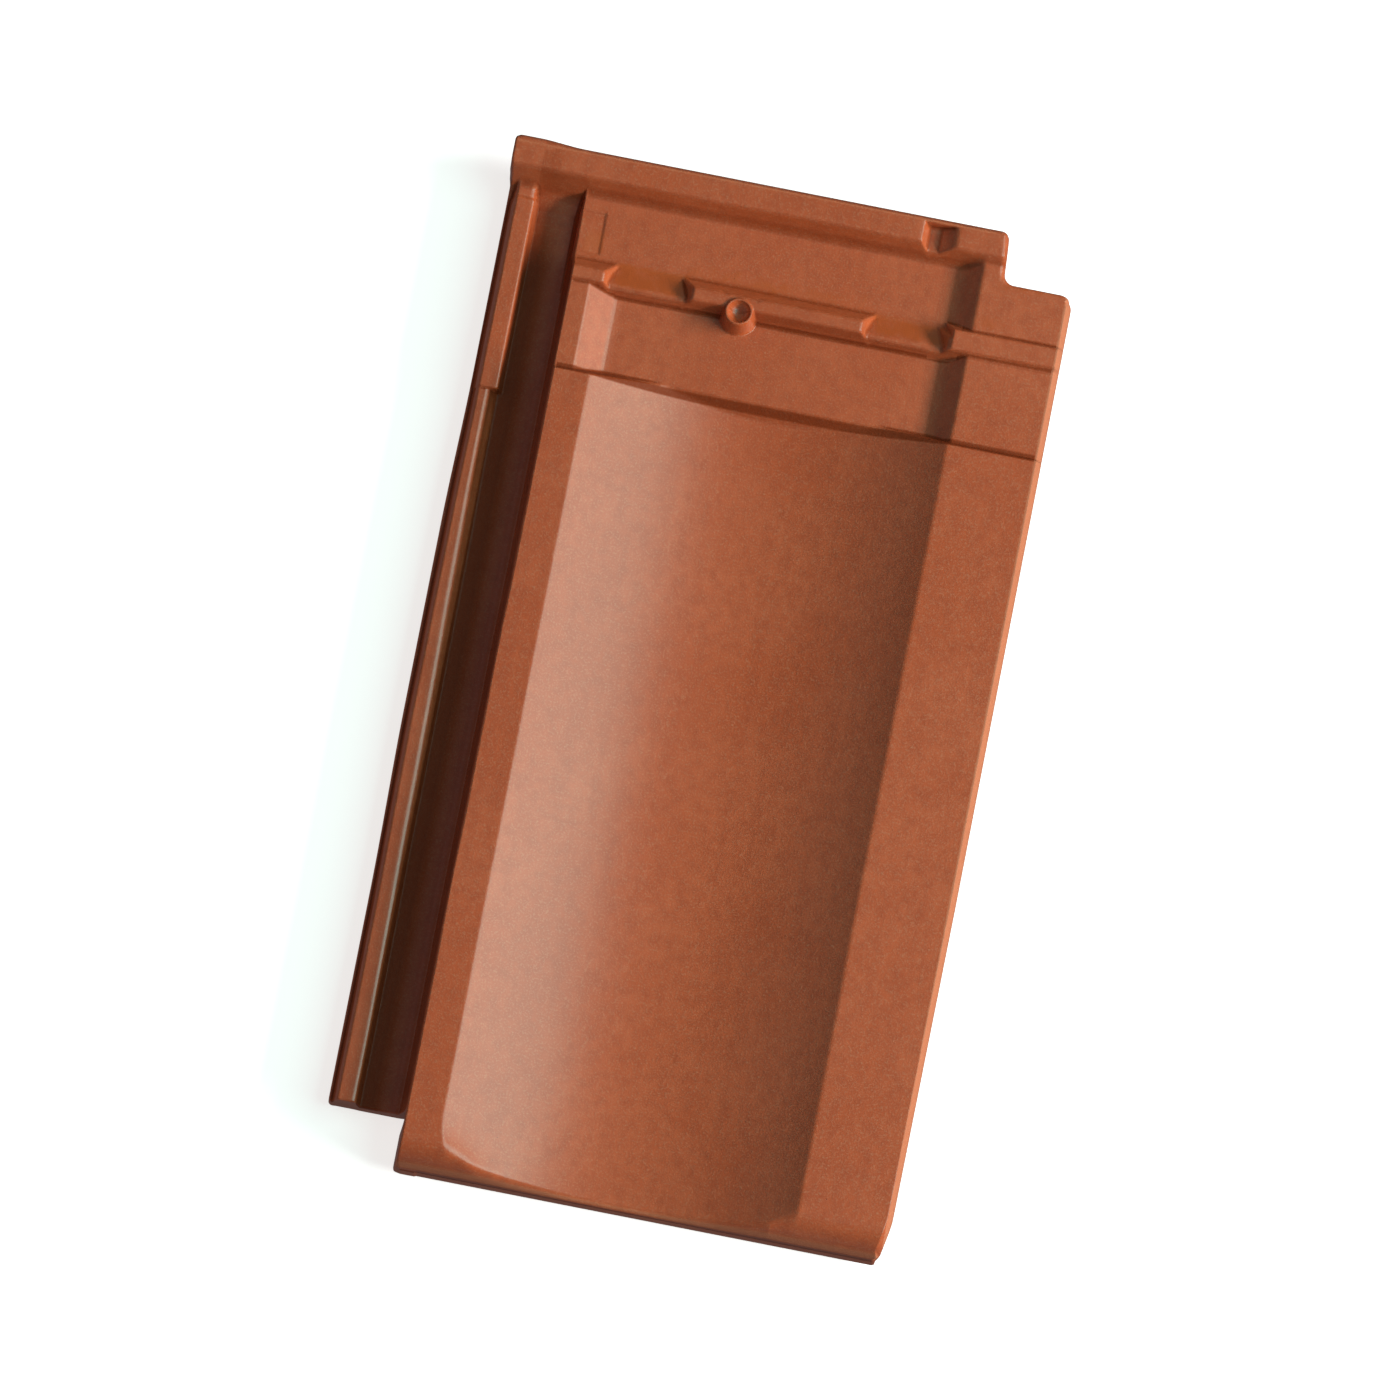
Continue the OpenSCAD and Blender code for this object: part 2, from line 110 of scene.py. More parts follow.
def soft_min(a: np.ndarray, b: np.ndarray, blend: float) -> np.ndarray:
    """Smaller of two heights with a rounded edge: min(a, b) - max(k - |a - b|, 0)^2 / (4 k)."""
    return -soft_max(-a, -b, blend)


def drawn(x: np.ndarray, places: Sequence[float], heights: Sequence[float], radius: float) -> np.ndarray:
    """Height along a run of straight lines whose corners are rounded.

    The height is the mean of the straight lines over x - r to x + r, which is the difference of their running area at
    those two places over 2 r. The end heights carry on level.

    Args:
        x: Places at which the height is wanted.
        places: Places of the corners, rising.
        heights: Heights of the corners.
        radius: Half of the width over which a corner is rounded.

    Returns:
        The rounded heights.
    """
    at, up = np.asarray(places, dtype=float), np.asarray(heights, dtype=float)
    areas = np.concatenate([[0.0], np.cumsum((up[1:] + up[:-1]) / 2.0 * np.diff(at))])

    def running(t: np.ndarray) -> np.ndarray:
        """Area under the lines up to each place.

        Args:
            t: The places.

        Returns:
            The area up to the last corner before each place, and the part of a trapezium from there on.
        """
        held = np.clip(t, at[0], at[-1])
        index = np.clip(np.searchsorted(at, held, side="right") - 1, 0, len(at) - 2)
        height = np.interp(held, at, up)
        return areas[index] + (held - at[index]) * (up[index] + height) / 2.0 + (t - held) * height

    return (running(x + radius) - running(x - radius)) / (2.0 * radius)


def spaced(table: tuple[tuple[float, float], ...]) -> np.ndarray:
    """Grid lines from 0 through a table of stretches.

    Args:
        table: For each stretch, the place where it ends and the widest gap between lines in it.

    Returns:
        The places of the lines, rising, with a line at the end of every stretch.
    """
    lines = [np.array([0.0])]
    for end, gap in table:
        first = lines[-1][-1]
        count = max(int(math.ceil((end - first) / gap - 1e-9)), 1)
        lines.append(np.linspace(first, end, count + 1)[1:])
    return np.concatenate(lines)


def waver(u: np.ndarray, v: np.ndarray, seed: float) -> np.ndarray:
    """Slow uneven drift of pressed clay, a sum of four crossing sine waves 50 to 150 mm long.

    Args:
        u: Places across the tile.
        v: Places along the tile.
        seed: Shifts the waves against each other, so that each seed gives another drift.

    Returns:
        The drift, between about -1 and 1.
    """
    total = sum(np.sin(a * u + b * v + phase + seed * (1.0 + i)) / (1.0 + 0.5 * i)
                for i, (a, b, phase) in enumerate(DRIFT_WAVES))
    return total / DRIFT_RANGE


def bow(v: np.ndarray) -> np.ndarray:
    """How far the bow of the tile's left side has swollen at a place along it: 0 to 1 and back with soft ends."""
    begin, full, ebb, end = BOW_ROWS
    return ease(v, begin, full) * ease(v, end, ebb)


# ---------------------------------------------------------------- parts of the tile


@dataclass(frozen=True)
class Outline:
    """Outline of the tile seen from above, and the way a plain grid is bent to it.

    Rows are places along the tile and columns places across it. A reach is how far from its edge a bend fades out.
    """

    length: float = 467.0
    width: float = 254.6
    notch_u: float = 221.8
    notch_v: float = 22.6
    notch_lean: float = 1.0
    lean_rows: tuple[float, float] = (4.0, 17.6)
    lean_fade_rows: tuple[float, float] = (60.0, 30.0)
    lean_reach: float = 12.0
    notch_fillet: float = 5.0
    fillet_reach: float = 8.0
    foot_u: float = 34.6
    lock_end: float = 442.6
    flare_side: float = 1.6
    flare_rows: tuple[float, float] = (18.0, 9.0)
    flare_side_reach: float = 9.0
    flare_head: float = 1.2
    flare_columns: tuple[float, float] = (30.0, 9.0)
    flare_head_reach: float = 6.0
    left_bow: float = 1.0
    bow_reach: float = 7.0
    taper_length: float = 17.0
    taper_width: float = 4.0
    taper_power: float = 1.4
    taper_reach: float = 34.0
    side_narrowing: float = 0.9
    narrowing_start: float = 307.0
    head_left_radius: float = 2.5
    head_right_radius: float = 4.0
    strip_radius: float = 6.0
    foot_right_radius: float = 3.0
    foot_left_radius: float = 2.5
    lock_radius: float = 2.0
    head_zone: float = 30.0
    foot_zone: float = 20.0

    def rounded(self, u: np.ndarray, v: np.ndarray,
                corner: tuple[float, float, float, int, int]) -> tuple[np.ndarray, np.ndarray]:
        """Rounds one outer corner of the grid.

        Inside the square of side r at the corner, a point at (a, b) from the arc's centre moves to
        (a, b) * max(a, b) / |(a, b)|, so the square's outer sides land on the arc.

        Args:
            u: Places across the tile.
            v: Places along the tile.
            corner: The corner's place, its radius, and the signs of its outward directions.

        Returns:
            The new places across and along.
        """
        corner_u, corner_v, radius, side_u, side_v = corner
        centre_u, centre_v = corner_u - side_u * radius, corner_v - side_v * radius
        a, b = side_u * (u - centre_u) / radius, side_v * (v - centre_v) / radius
        inside = (a > 1e-9) & (b > 1e-9) & (a < 1.0 + TOUCH) & (b < 1.0 + TOUCH)
        scale = np.where(inside, np.maximum(a, b) / np.maximum(np.hypot(a, b), 1e-9), 1.0)
        return (np.where(inside, centre_u + side_u * radius * a * scale, u),
                np.where(inside, centre_v + side_v * radius * b * scale, v))

    def bent(self, u: np.ndarray, v: np.ndarray) -> tuple[np.ndarray, np.ndarray]:
        """Bends the places of a plain grid to the tile's outline.

        Outer corners are rounded first. Then the notch's wall leans and its inner corner gets its fillet, the head
        left corner flares out, the left side bows and the right side tapers towards the foot. Each shift fades to
        nothing away from its edge.

        Args:
            u: Places across the tile.
            v: Places along the tile.

        Returns:
            The bent places across and along.
        """
        for corner in ((0.0, 0.0, self.head_left_radius, -1, -1),
                       (self.notch_u, 0.0, self.head_right_radius, 1, -1),
                       (self.width, self.notch_v, self.strip_radius, 1, -1),
                       (self.width, self.length, self.foot_right_radius, 1, 1),
                       (self.foot_u, self.length, self.foot_left_radius, -1, 1),
                       (0.0, self.lock_end, self.lock_radius, -1, 1)):
            at_head = corner[4] < 0
            allowed = (v <= self.notch_v + self.head_zone) if at_head else (v >= self.lock_end - self.foot_zone)
            if corner[0] == self.notch_u:
                allowed &= u <= self.notch_u + TOUCH
            if corner[0] == self.foot_u:
                allowed &= u >= self.foot_u - TOUCH
            new_u, new_v = self.rounded(u, v, corner)
            u, v = np.where(allowed, new_u, u), np.where(allowed, new_v, v)
        lean = (self.notch_lean * ramp(v, *self.lean_rows)
                * ramp(np.abs(u - self.notch_u), self.lean_reach, 0.0) * ramp(v, *self.lean_fade_rows))
        # the fillet's two halves: down the notch's wall to 45 degrees, then along its head to the right
        radius = self.notch_fillet
        wall = ramp(v, self.notch_v - radius, self.notch_v)
        head = ramp(u, self.notch_u + radius, self.notch_u)
        fade = ramp(self.notch_u - u, self.fillet_reach, 0.0) * ramp(v - self.notch_v, self.fillet_reach, 0.0)
        on_wall = u <= self.notch_u + TOUCH
        wall_u = radius * (1.0 - np.cos(wall * math.pi / 4.0))
        wall_v = radius * (np.sin(wall * math.pi / 4.0) - wall)
        head_u = radius * (head - np.sin(head * math.pi / 4.0))
        head_v = -radius * (1.0 - np.cos(head * math.pi / 4.0))
        shift_u = np.where(on_wall, wall_u, head_u) * fade
        shift_v = np.where(on_wall, wall_v, head_v) * fade
        flare_u = -self.flare_side * ease(v, *self.flare_rows) * ramp(u, self.flare_side_reach, 0.0)
        flare_u = flare_u - self.left_bow * bow(v) * ramp(u, self.bow_reach, 0.0)
        flare_v = -self.flare_head * ease(u, *self.flare_columns) * ramp(v, self.flare_head_reach, 0.0)
        taper_start = self.length - self.taper_length
        taper = (self.side_narrowing * ramp(v, self.narrowing_start, taper_start)
                 + (self.taper_width - self.side_narrowing) * ramp(v, taper_start, self.length) ** self.taper_power)
        taper = -taper * ramp(u, self.width - self.taper_reach, self.width)
        return u + lean + shift_u + flare_u + taper, v + shift_v + flare_v

    def kept(self, lines_u: np.ndarray, lines_v: np.ndarray) -> np.ndarray:
        """Which cells of a grid lie on the tile and not in the notch or beside the foot.

        Args:
            lines_u: Grid lines across.
            lines_v: Grid lines along.

        Returns:
            True or false for each cell, as a table of cells along by cells across.
        """
        mid_u, mid_v = (lines_u[1:] + lines_u[:-1]) / 2.0, (lines_v[1:] + lines_v[:-1]) / 2.0
        in_notch = (mid_u[None, :] > self.notch_u) & (mid_v[:, None] < self.notch_v)
        in_foot = (mid_u[None, :] < self.foot_u) & (mid_v[:, None] > self.lock_end)
        return ~(in_notch | in_foot)

    def walk(self, lines_u: np.ndarray, lines_v: np.ndarray) -> tuple[np.ndarray, np.ndarray, np.ndarray]:
        """Walks once round the outline, from the head left corner over the head and down the right side.

        Args:
            lines_u: Grid lines across, with lines at both notch walls.
            lines_v: Grid lines along, with lines at both notch ends.

        Returns:
            The indices of the outline's vertices, the side that each starts, and how far round it is: the side's
            number plus the part of that side already walked.
        """
        count_u, count_v = len(lines_u), len(lines_v)
        notch_i, foot_i = (np.argmin(np.abs(lines_u - place)) for place in (self.notch_u, self.foot_u))
        notch_j, end_j = (np.argmin(np.abs(lines_v - place)) for place in (self.notch_v, self.lock_end))
        stops = [(0, 0), (notch_i, 0), (notch_i, notch_j), (count_u - 1, notch_j), (count_u - 1, count_v - 1),
                 (foot_i, count_v - 1), (foot_i, end_j), (0, end_j), (0, 0)]
        loop, sides, far = [], [], []
        for side, ((i0, j0), (i1, j1)) in enumerate(zip(stops[:-1], stops[1:])):
            steps = max(abs(i1 - i0), abs(j1 - j0))
            i = np.linspace(i0, i1, steps + 1).round().astype(int)
            j = np.linspace(j0, j1, steps + 1).round().astype(int)
            run = np.abs(lines_u[i] - lines_u[i0]) + np.abs(lines_v[j] - lines_v[j0])
            loop.append((j * count_u + i)[:-1])
            sides.append(np.full(steps, side))
            far.append(side + (run / run[-1])[:-1])
        return np.concatenate(loop), np.concatenate(sides), np.concatenate(far)


@dataclass(frozen=True)
class HeadRib:
    """Rib across the head of the tile, with its drain notch."""

    top_end: float = 12.2
    slope: float = 4.8
    drop: float = 10.5
    edge: float = 1.3
    drain_near: tuple[float, float] = (183.9, 186.9)
    drain_far: tuple[float, float] = (191.8, 199.0)
    drain_depth: float = 5.6
    drain_edge: float = 0.5
    drain_blend: float = 1.2
    drain_lip: float = 2.2
    lip_run: float = 1.4
    lip_edge: float = 0.4
    lip_blend: float = 0.8

    def height(self, u: np.ndarray, v: np.ndarray) -> np.ndarray:
        """Height of the rib.

        It is level at 0, then goes down its slope. The drain notch has a steep left slope, a level floor and a gentle
        right slope, and closes at the head edge with a thin lip. The rib is the lower of the two. The first and last
        corner of each run of lines only carry it on past the rib.

        Args:
            u: Places across the tile.
            v: Places along the tile.

        Returns:
            The heights.
        """
        down = self.drop / self.slope
        rib = drawn(v, [-4.0, self.top_end, self.top_end + 20.0], [0.0, 0.0, -20.0 * down], self.edge)
        notch = drawn(u, [self.drain_near[0] - 4.0, *self.drain_near, *self.drain_far, self.drain_far[1] + 4.0],
                      [6.0, 0.0, -self.drain_depth, -self.drain_depth, 0.0, 3.0], self.drain_edge)
        lip = drawn(v, [-4.0, self.drain_lip, self.drain_lip + self.lip_run], [2.0, 2.0, -9.0], self.lip_edge)
        return soft_min(rib, soft_max(notch, lip, self.lip_blend), self.drain_blend)


@dataclass(frozen=True)
class SideLock:
    """Side rib and water channel along the left of the tile.

    The rib has three parts: a lead at its head, a second at full height, and a long third that is lower and slimmer.
    """

    rib_left: float = 3.6
    rib_right: float = 12.0
    rib_top: float = -12.0
    rib_foot: float = -26.0
    rib_edge: float = 0.7
    shoulder_run: float = 1.0
    shoulder_drop: float = 2.2
    left_bow: float = 0.9
    bow_columns: tuple[float, float] = (8.5, 4.5)
    lead_drop: float = 0.6
    lead_slim: float = 1.0
    lead_end: float = 24.0
    slim_columns: tuple[float, float] = (5.0, 9.0)
    slim_end: float = 9.2
    drop_columns: tuple[float, float] = (14.5, 12.5)
    third_drop: float = 1.3
    third_slim: tuple[float, float] = (3.6, 0.6)
    third_taper: tuple[float, float] = (150.0, 420.0)
    third_start: float = 112.0
    floor: float = -20.0
    floor_left: float = 14.0
    floor_right: float = 31.8
    sill: float = -16.0
    sill_start: float = 19.5
    sill_run: float = 7.6
    sill_edge: float = 1.2
    wall_top: float = 34.3
    wall_bend: float = -12.4
    fillet: float = 1.4

    def height(self, u: np.ndarray, v: np.ndarray) -> np.ndarray:
        """Height of the side rib over the channel's floor.

        The rib's section is a rounded run of straight lines across the tile. It is read a little further right where
        the rib is slimmer or bows out, and let down by the steps along it. The floor is level, and rises in a
        straight ramp to the sill at its head end.

        Args:
            u: Places across the tile.
            v: Places along the tile.

        Returns:
            The heights.
        """
        lead = ramp(v, self.lead_end + 0.5, self.lead_end - 0.3)
        third = ramp(v, self.third_start, self.third_start + 1.0)
        step = -self.lead_drop * lead - self.third_drop * third
        slim = lead * self.lead_slim + third * ramp(v, *self.third_taper, *self.third_slim)
        at = u + slim * ramp(u, *self.slim_columns) * ramp(u, self.floor_left + 0.5, self.slim_end)
        at = at + self.left_bow * bow(v) * ramp(u, *self.bow_columns)
        rib = drawn(at, [0.0, self.rib_left, self.rib_right, self.rib_right + self.shoulder_run, self.floor_left,
                         self.floor_left + 3.0],
                    [self.rib_foot, self.rib_top, self.rib_top, self.rib_top - self.shoulder_drop, self.floor,
                     self.floor - 17.0], self.rib_edge)
        floor = drawn(v, [self.sill_start, self.sill_start + self.sill_run], [self.sill, self.floor], self.sill_edge)
        return soft_max(rib + step * ramp(u, *self.drop_columns), floor, self.fillet)

    def wall(self, u: np.ndarray) -> np.ndarray:
        """Height under the channel's right wall: up its slope from the floor, then nearly upright to the face.

        Args:
            u: Places across the tile.

        Returns:
            The heights, which carry on upright past the face.
        """
        bend = self.floor_right + 0.8 * (self.wall_top - self.floor_right)
        return np.interp(u, [self.floor_right - 6.0, self.floor_right, bend,
                             self.wall_top + 0.5, self.wall_top + 1.5],
                         [self.floor - 15.8, self.floor, self.wall_bend, 2.5, 12.0])


@dataclass(frozen=True)
class HeadLock:
    """Floor between the head rib and the water step, with its borders and its small recessed pad."""

    floor: float = -10.5
    border: float = -3.5
    step_start: float = 96.5
    step_run: float = 4.1
    ramp_run: float = 6.0
    ramp_drop: float = 5.5
    slope_left: float = 204.2
    slope_right: float = 213.0
    left_border_end: float = 43.0
    left_slope_end: float = 56.0
    left_start: float = 50.5
    pad_u: tuple[float, float] = (30.0, 45.0)
    pad_v: tuple[float, float] = (24.0, 44.0)
    pad_sink: float = 0.4
    left_rise: float = 1.8
    past_gap: float = 3.0

    def height(self, u: np.ndarray, v: np.ndarray) -> np.ndarray:
        """Height of the floor and its borders.

        The floor is level, less the pad, and runs down past the water step. The right border rises from it in a
        slope, and past the second rib a left border runs down to it in a broad slope. The first and last corner of
        each run of lines only carry it on.

        Args:
            u: Places across the tile.
            v: Places along the tile.

        Returns:
            The heights.
        """
        floor = self.floor - (v - self.step_start).clip(0.0) * self.ramp_drop / self.ramp_run
        floor = floor - self.pad_sink * window(u, *self.pad_u, 1.0) * window(v, *self.pad_v, 0.8)
        rise = (self.border - self.floor) / (self.slope_right - self.slope_left)
        right = drawn(u, [self.slope_left - 20.0, self.slope_right, self.slope_right + 9.0],
                      [self.floor - 20.0 * rise, self.border, self.border], 1.2)
        fall = (self.border - self.floor) / (self.left_slope_end - self.left_border_end)
        left = drawn(u, [30.0, self.left_border_end, self.left_slope_end + 30.0],
                     [self.border, self.border, self.floor - 30.0 * fall], 0.5)
        left = soft_min(left, self.floor + (v - self.left_start) * self.left_rise, 1.0)
        past = (v - self.step_start - self.step_run - self.past_gap).clip(0.0)
        return soft_max(soft_max(floor, right, 2.6), left, 0.8) - past


@dataclass(frozen=True)
class SecondRib:
    """Second rib across the head lock, standing in three blocks with low ridges in the two windows between them."""

    start: float = 46.3
    head_slope: float = 6.4
    top_width: float = 4.9
    foot_slope: float = 3.7
    top: float = -1.0
    base: float = -10.5
    ridge: float = -5.5
    tilt: float = 0.9
    block_slope: float = 6.0
    ends: tuple[float, ...] = (48.5, 89.0, 165.0, 204.5)
    border_start: float = 201.6
    border_rise: float = 2.6
    border_slope: float = 2.4
    ridge_width: float = 2.7
    tile_width: float = 254.6

    def height(self, u: np.ndarray, v: np.ndarray) -> np.ndarray:
        """Height of the rib.

        Across the tile the blocks are a run of straight lines, along it the rib is another, and the rib is the lower
        of the two. The low ridges are a gentler profile along the tile, and a last block stands on the right border.
        The rib lies slightly askew. The first and last corner of each run of lines only carry it on.

        Args:
            u: Places across the tile.
            v: Places along the tile.

        Returns:
            The heights.
        """
        v = v - self.tilt * (0.5 - u / self.tile_width)
        left, mid_left, mid_right, right = self.ends
        run = self.block_slope
        deep = self.base - 3.0
        more = run * 3.0 / (self.top - self.base)
        across = drawn(u, [left, left + run + more, mid_left - run - more, mid_left,
                           mid_right, mid_right + run + more, right - run - more, right],
                       [self.top, deep, deep, self.top, self.top, deep, deep, self.top], 0.7)
        head_end = self.start + self.head_slope
        foot_start = head_end + self.top_width
        up, down = (self.top - self.base) / self.head_slope, (self.top - self.base) / self.foot_slope
        along = drawn(v, [self.start - 10.0, head_end, foot_start, foot_start + self.foot_slope + 10.0],
                      [self.base - 10.0 * up, self.top, self.top, self.base - 10.0 * down], 0.9)
        foot = foot_start + self.foot_slope
        crest = foot - self.foot_slope * (self.ridge - self.base) / (self.top - self.base)
        low = drawn(v, [self.start - 10.0, self.start, crest - self.ridge_width, crest, foot + 10.0],
                    [self.base - 5.0, self.base, self.ridge, self.ridge, self.base - 10.0 * down], 0.7)
        border = drawn(v, [self.start - 4.0, self.start + self.border_slope, foot_start, foot + 10.0],
                       [-14.0, self.top, self.top, self.base - 10.0 * down], 0.7)
        border = soft_min(border, self.base + (u - self.border_start) * self.border_rise, 1.0)
        blocks = soft_min(along, across, 2.2)
        return soft_max(soft_max(blocks, low, 1.2), border, 0.6)


@dataclass(frozen=True)
class FixingBoss:
    """Round boss for the nail, a cone with a cup in its top."""

    u: float = 110.3
    v: float = 59.5
    half: float = 9.6
    top_radius: float = 6.2
    base_radius: float = 8.5
    top: float = -0.7
    base: float = -10.5
    edge: float = 0.45
    cup_radius: float = 5.2
    cup_depth: float = 3.9
    cup_rim: float = 0.35
    cup_edge: float = 0.25
    blend: float = 0.9
    # radii of the mesh's rings, closest together over the rim
    rings: tuple[float, ...] = (9.2, 8.8, 8.4, 8.0, 7.6, 7.2, 6.9, 6.6, 6.4, 6.2, 6.05, 5.9, 5.75, 5.6, 5.45, 5.3,
                                5.22, 5.2, 5.19, 5.18, 5.1, 4.7, 4.1, 3.4, 2.5, 1.6, 0.8)

    def cone(self, radius: np.ndarray) -> np.ndarray:
        """Height of the boss at a distance from its axis: its flat top, then down the cone's side.

        Args:
            radius: Distances from the axis.

        Returns:
            The heights.
        """
        fall = (self.top - self.base) / (self.base_radius - self.top_radius)
        return drawn(radius, [0.0, self.top_radius, self.base_radius + 8.0],
                     [self.top, self.top, self.base - 8.0 * fall], self.edge)

    def cup(self, radius: np.ndarray) -> np.ndarray:
        """Height of the cup, a cap of a ball: top + R - depth - sqrt(R^2 - x^2), R = (r^2 + depth^2) / (2 depth).

        Args:
            radius: Distances x from the boss's axis.

        Returns:
            The heights, level with the top outside the cup.
        """
        ball = (self.cup_radius ** 2 + self.cup_depth ** 2) / (2.0 * self.cup_depth)
        cap = self.top + ball - self.cup_depth - np.sqrt(np.maximum(ball ** 2 - radius ** 2, 0.0))
        return soft_min(cap, np.full_like(radius, self.top), self.cup_edge)


@dataclass(frozen=True)
class WeatherFace:
    """The face that takes the rain: two flat borders, the shallow trough between them, and the nose at the foot."""

    trough_left: float = 51.0
    trough_right: float = 212.0
    trough_depth: float = 16.0
    length: float = 467.0
    nose_depths: tuple[float, ...] = (0.0, 0.13, 0.27, 0.5, 1.0)
    nose_runs: tuple[float, ...] = (12.5, 9.8, 6.2, 4.8, 3.4)
    nose_bottom: float = -19.0
    step_start: float = 96.5
    step_run: float = 4.1
    step_base: float = -10.5
    step_edge: float = 1.0
    trough_edge: float = 0.35
    corner_bow: float = 4.5
    corner_rows: tuple[float, float] = (442.0, 461.0)
    corner_columns: tuple[float, float] = (85.0, 58.0)

    @property
    def middle(self) -> float:
        """Place of the trough's middle across the tile."""
        return (self.trough_left + self.trough_right) / 2.0

    @property
    def radius(self) -> float:
        """Radius of the trough, (half width^2 + depth^2) / (2 depth)."""
        half = (self.trough_right - self.trough_left) / 2.0
        return (half * half + self.trough_depth ** 2) / (2.0 * self.trough_depth)

    def arc(self, u: np.ndarray, sink: float = 0.0) -> np.ndarray:
        """Height of a circle about the trough's axis, sunk by the given amount: r - d - sqrt((r + sink)^2 - x^2)."""
        far = (self.radius + sink) ** 2 - (u - self.middle) ** 2
        return self.radius - self.trough_depth - np.sqrt(np.maximum(far, 0.0))

    def height(self, u: np.ndarray, v: np.ndarray) -> np.ndarray:
        """Height of the face.

        It is the lower of 0 and the trough's arc, cut by the water step's slope. Near the foot the trough's left side
        draws in with the square of the way down. At the foot the face turns down in a quarter ellipse from its own
        height to the nose's bottom, with a shorter run where the trough is deep.

        Args:
            u: Places across the tile.
            v: Places along the tile.

        Returns:
            The heights.
        """
        drawn_in = self.corner_bow * ramp(v, *self.corner_rows) ** 2 * ramp(u, *self.corner_columns)
        face = soft_min(np.zeros_like(u), self.arc(u - drawn_in), self.trough_edge)
        depth = np.clip(-face / self.trough_depth, 0.0, 1.0)
        run = np.interp(depth, self.nose_depths, self.nose_runs)
        turn = np.clip((v - (self.length - run)) / run, 0.0, 1.0)
        face = self.nose_bottom + (face - self.nose_bottom) * np.sqrt(1.0 - turn ** 2)
        step = self.step_base + (v - self.step_start) * (0.0 - self.step_base) / self.step_run
        return soft_min(face, step, self.step_edge)


@dataclass(frozen=True)
class Underside:
    """Underside of the tile: hollows down to the clay's thickness, ribs of the cover, nibs and foot rib."""

    slab: float = -21.5
    slab_end: float = 96.5
    slab_edge: float = 0.4
    ramp_end: float = 108.5
    ramp_u: tuple[float, float] = (50.6, 212.4)
    lock: float = -28.5
    lock_start: float = 12.6
    lock_head_end: float = 60.0
    strip_start: float = 458.0
    steep: float = 0.8
    sole: float = -34.0
    clay: float = 11.0
    # places across where the side lock, the inner rib, the cover groove and the cover rib begin and end, and the
    # levels of the inner rib, the groove and the rib
    lock_right: tuple[float, float] = (41.0, 42.2)
    inner_left: tuple[float, float] = (214.6, 216.1)
    groove_left: tuple[float, float] = (226.1, 227.1)
    groove_right: tuple[float, float] = (240.6, 241.6)
    inner_rib: float = -16.0
    groove: float = -10.5
    cover_rib: float = -17.5
    hollow_end: float = 216.0
    hollow_edge: float = 1.2
    nibs: tuple[tuple[float, float], ...] = ((51.0, 95.0), (168.0, 212.0))
    nib_v: tuple[float, float] = (17.4, 30.8)
    nib_draft: float = 2.6
    hook_run: float = 2.9
    hook_back: float = 0.7
    foot_rib_u: tuple[float, float] = (43.8, 213.1)
    foot_rib_v: tuple[float, float] = (433.5, 448.5)
    foot_rib_ends: float = 1.0
    foot_rib_slope: float = 1.6

    def lowered(self, z: np.ndarray, level: float, part: np.ndarray) -> np.ndarray:
        """Brings a height down to a level where a part of the underside stands, z + (min(z, level) - z) * part."""
        return z + (np.minimum(z, level) - z) * part

    def height(self, u: np.ndarray, v: np.ndarray, face: WeatherFace) -> np.ndarray:
        """Height of the underside.

        A run of straight lines across the tile is cut by an arc concentric with the trough, and each solid part then
        brings it down to its own level: head slab and its ramp, side lock, front strip, nibs and foot rib.

        Args:
            u: Places across the tile.
            v: Places along the tile.
            face: The weather face, for the trough above.

        Returns:
            The heights.
        """
        z = np.interp(u, [*self.lock_right, *self.inner_left, *self.groove_left, *self.groove_right],
                      [self.lock, -self.clay, -self.clay, self.inner_rib, self.inner_rib, self.groove, self.groove,
                       self.cover_rib])
        slab_far, slab_near = self.slab_end + self.slab_edge, self.slab_end - self.slab_edge
        hollow = window(u, self.lock_right[0], self.hollow_end, self.hollow_edge) * ramp(v, slab_near, slab_far)
        z = np.where(hollow > 0.0, np.minimum(z, face.arc(u, self.clay) * hollow + z * (1.0 - hollow)), z)
        slab = np.maximum(ramp(v, slab_far, slab_near) * ramp(u, *reversed(self.groove_left)),
                          ramp(v, self.ramp_end, self.ramp_end - self.steep) * window(u, *self.ramp_u, self.steep))
        z = self.lowered(z, self.slab, slab)
        lock = (ramp(v, self.lock_start - self.slab_edge, self.lock_start + self.slab_edge)
                * ramp(u, *reversed(self.lock_right)))
        beside = np.where(v < self.lock_head_end, np.maximum(z, self.slab), z)
        z = np.where(u < self.lock_right[1], self.lowered(beside, self.lock, lock), z)
        z = self.lowered(z, self.lock, ramp(v, self.strip_start - self.steep, self.strip_start))
        for first, last in self.nibs:
            hook = (ramp(v, self.nib_v[0], self.nib_v[0] + self.hook_run)
                    * ramp(v, self.nib_v[1], self.nib_v[1] - self.hook_back))
            z = self.lowered(z, self.sole, window(u, first, last, self.nib_draft) * hook)
        return self.lowered(z, self.sole, window(u, *self.foot_rib_u, self.foot_rib_ends)
                            * window(v, *self.foot_rib_v, self.foot_rib_slope))


# ---------------------------------------------------------------- finish


def linear(colour: str) -> tuple[float, float, float, float]:
    """Turns an sRGB hex colour such as "#a05a3a" into linear light with full cover."""
    parts = [int(colour[i:i + 2], 16) / 255.0 for i in (1, 3, 5)]
    return (*(c / 12.92 if c <= 0.04045 else ((c + 0.055) / 1.055) ** 2.4 for c in parts), 1.0)


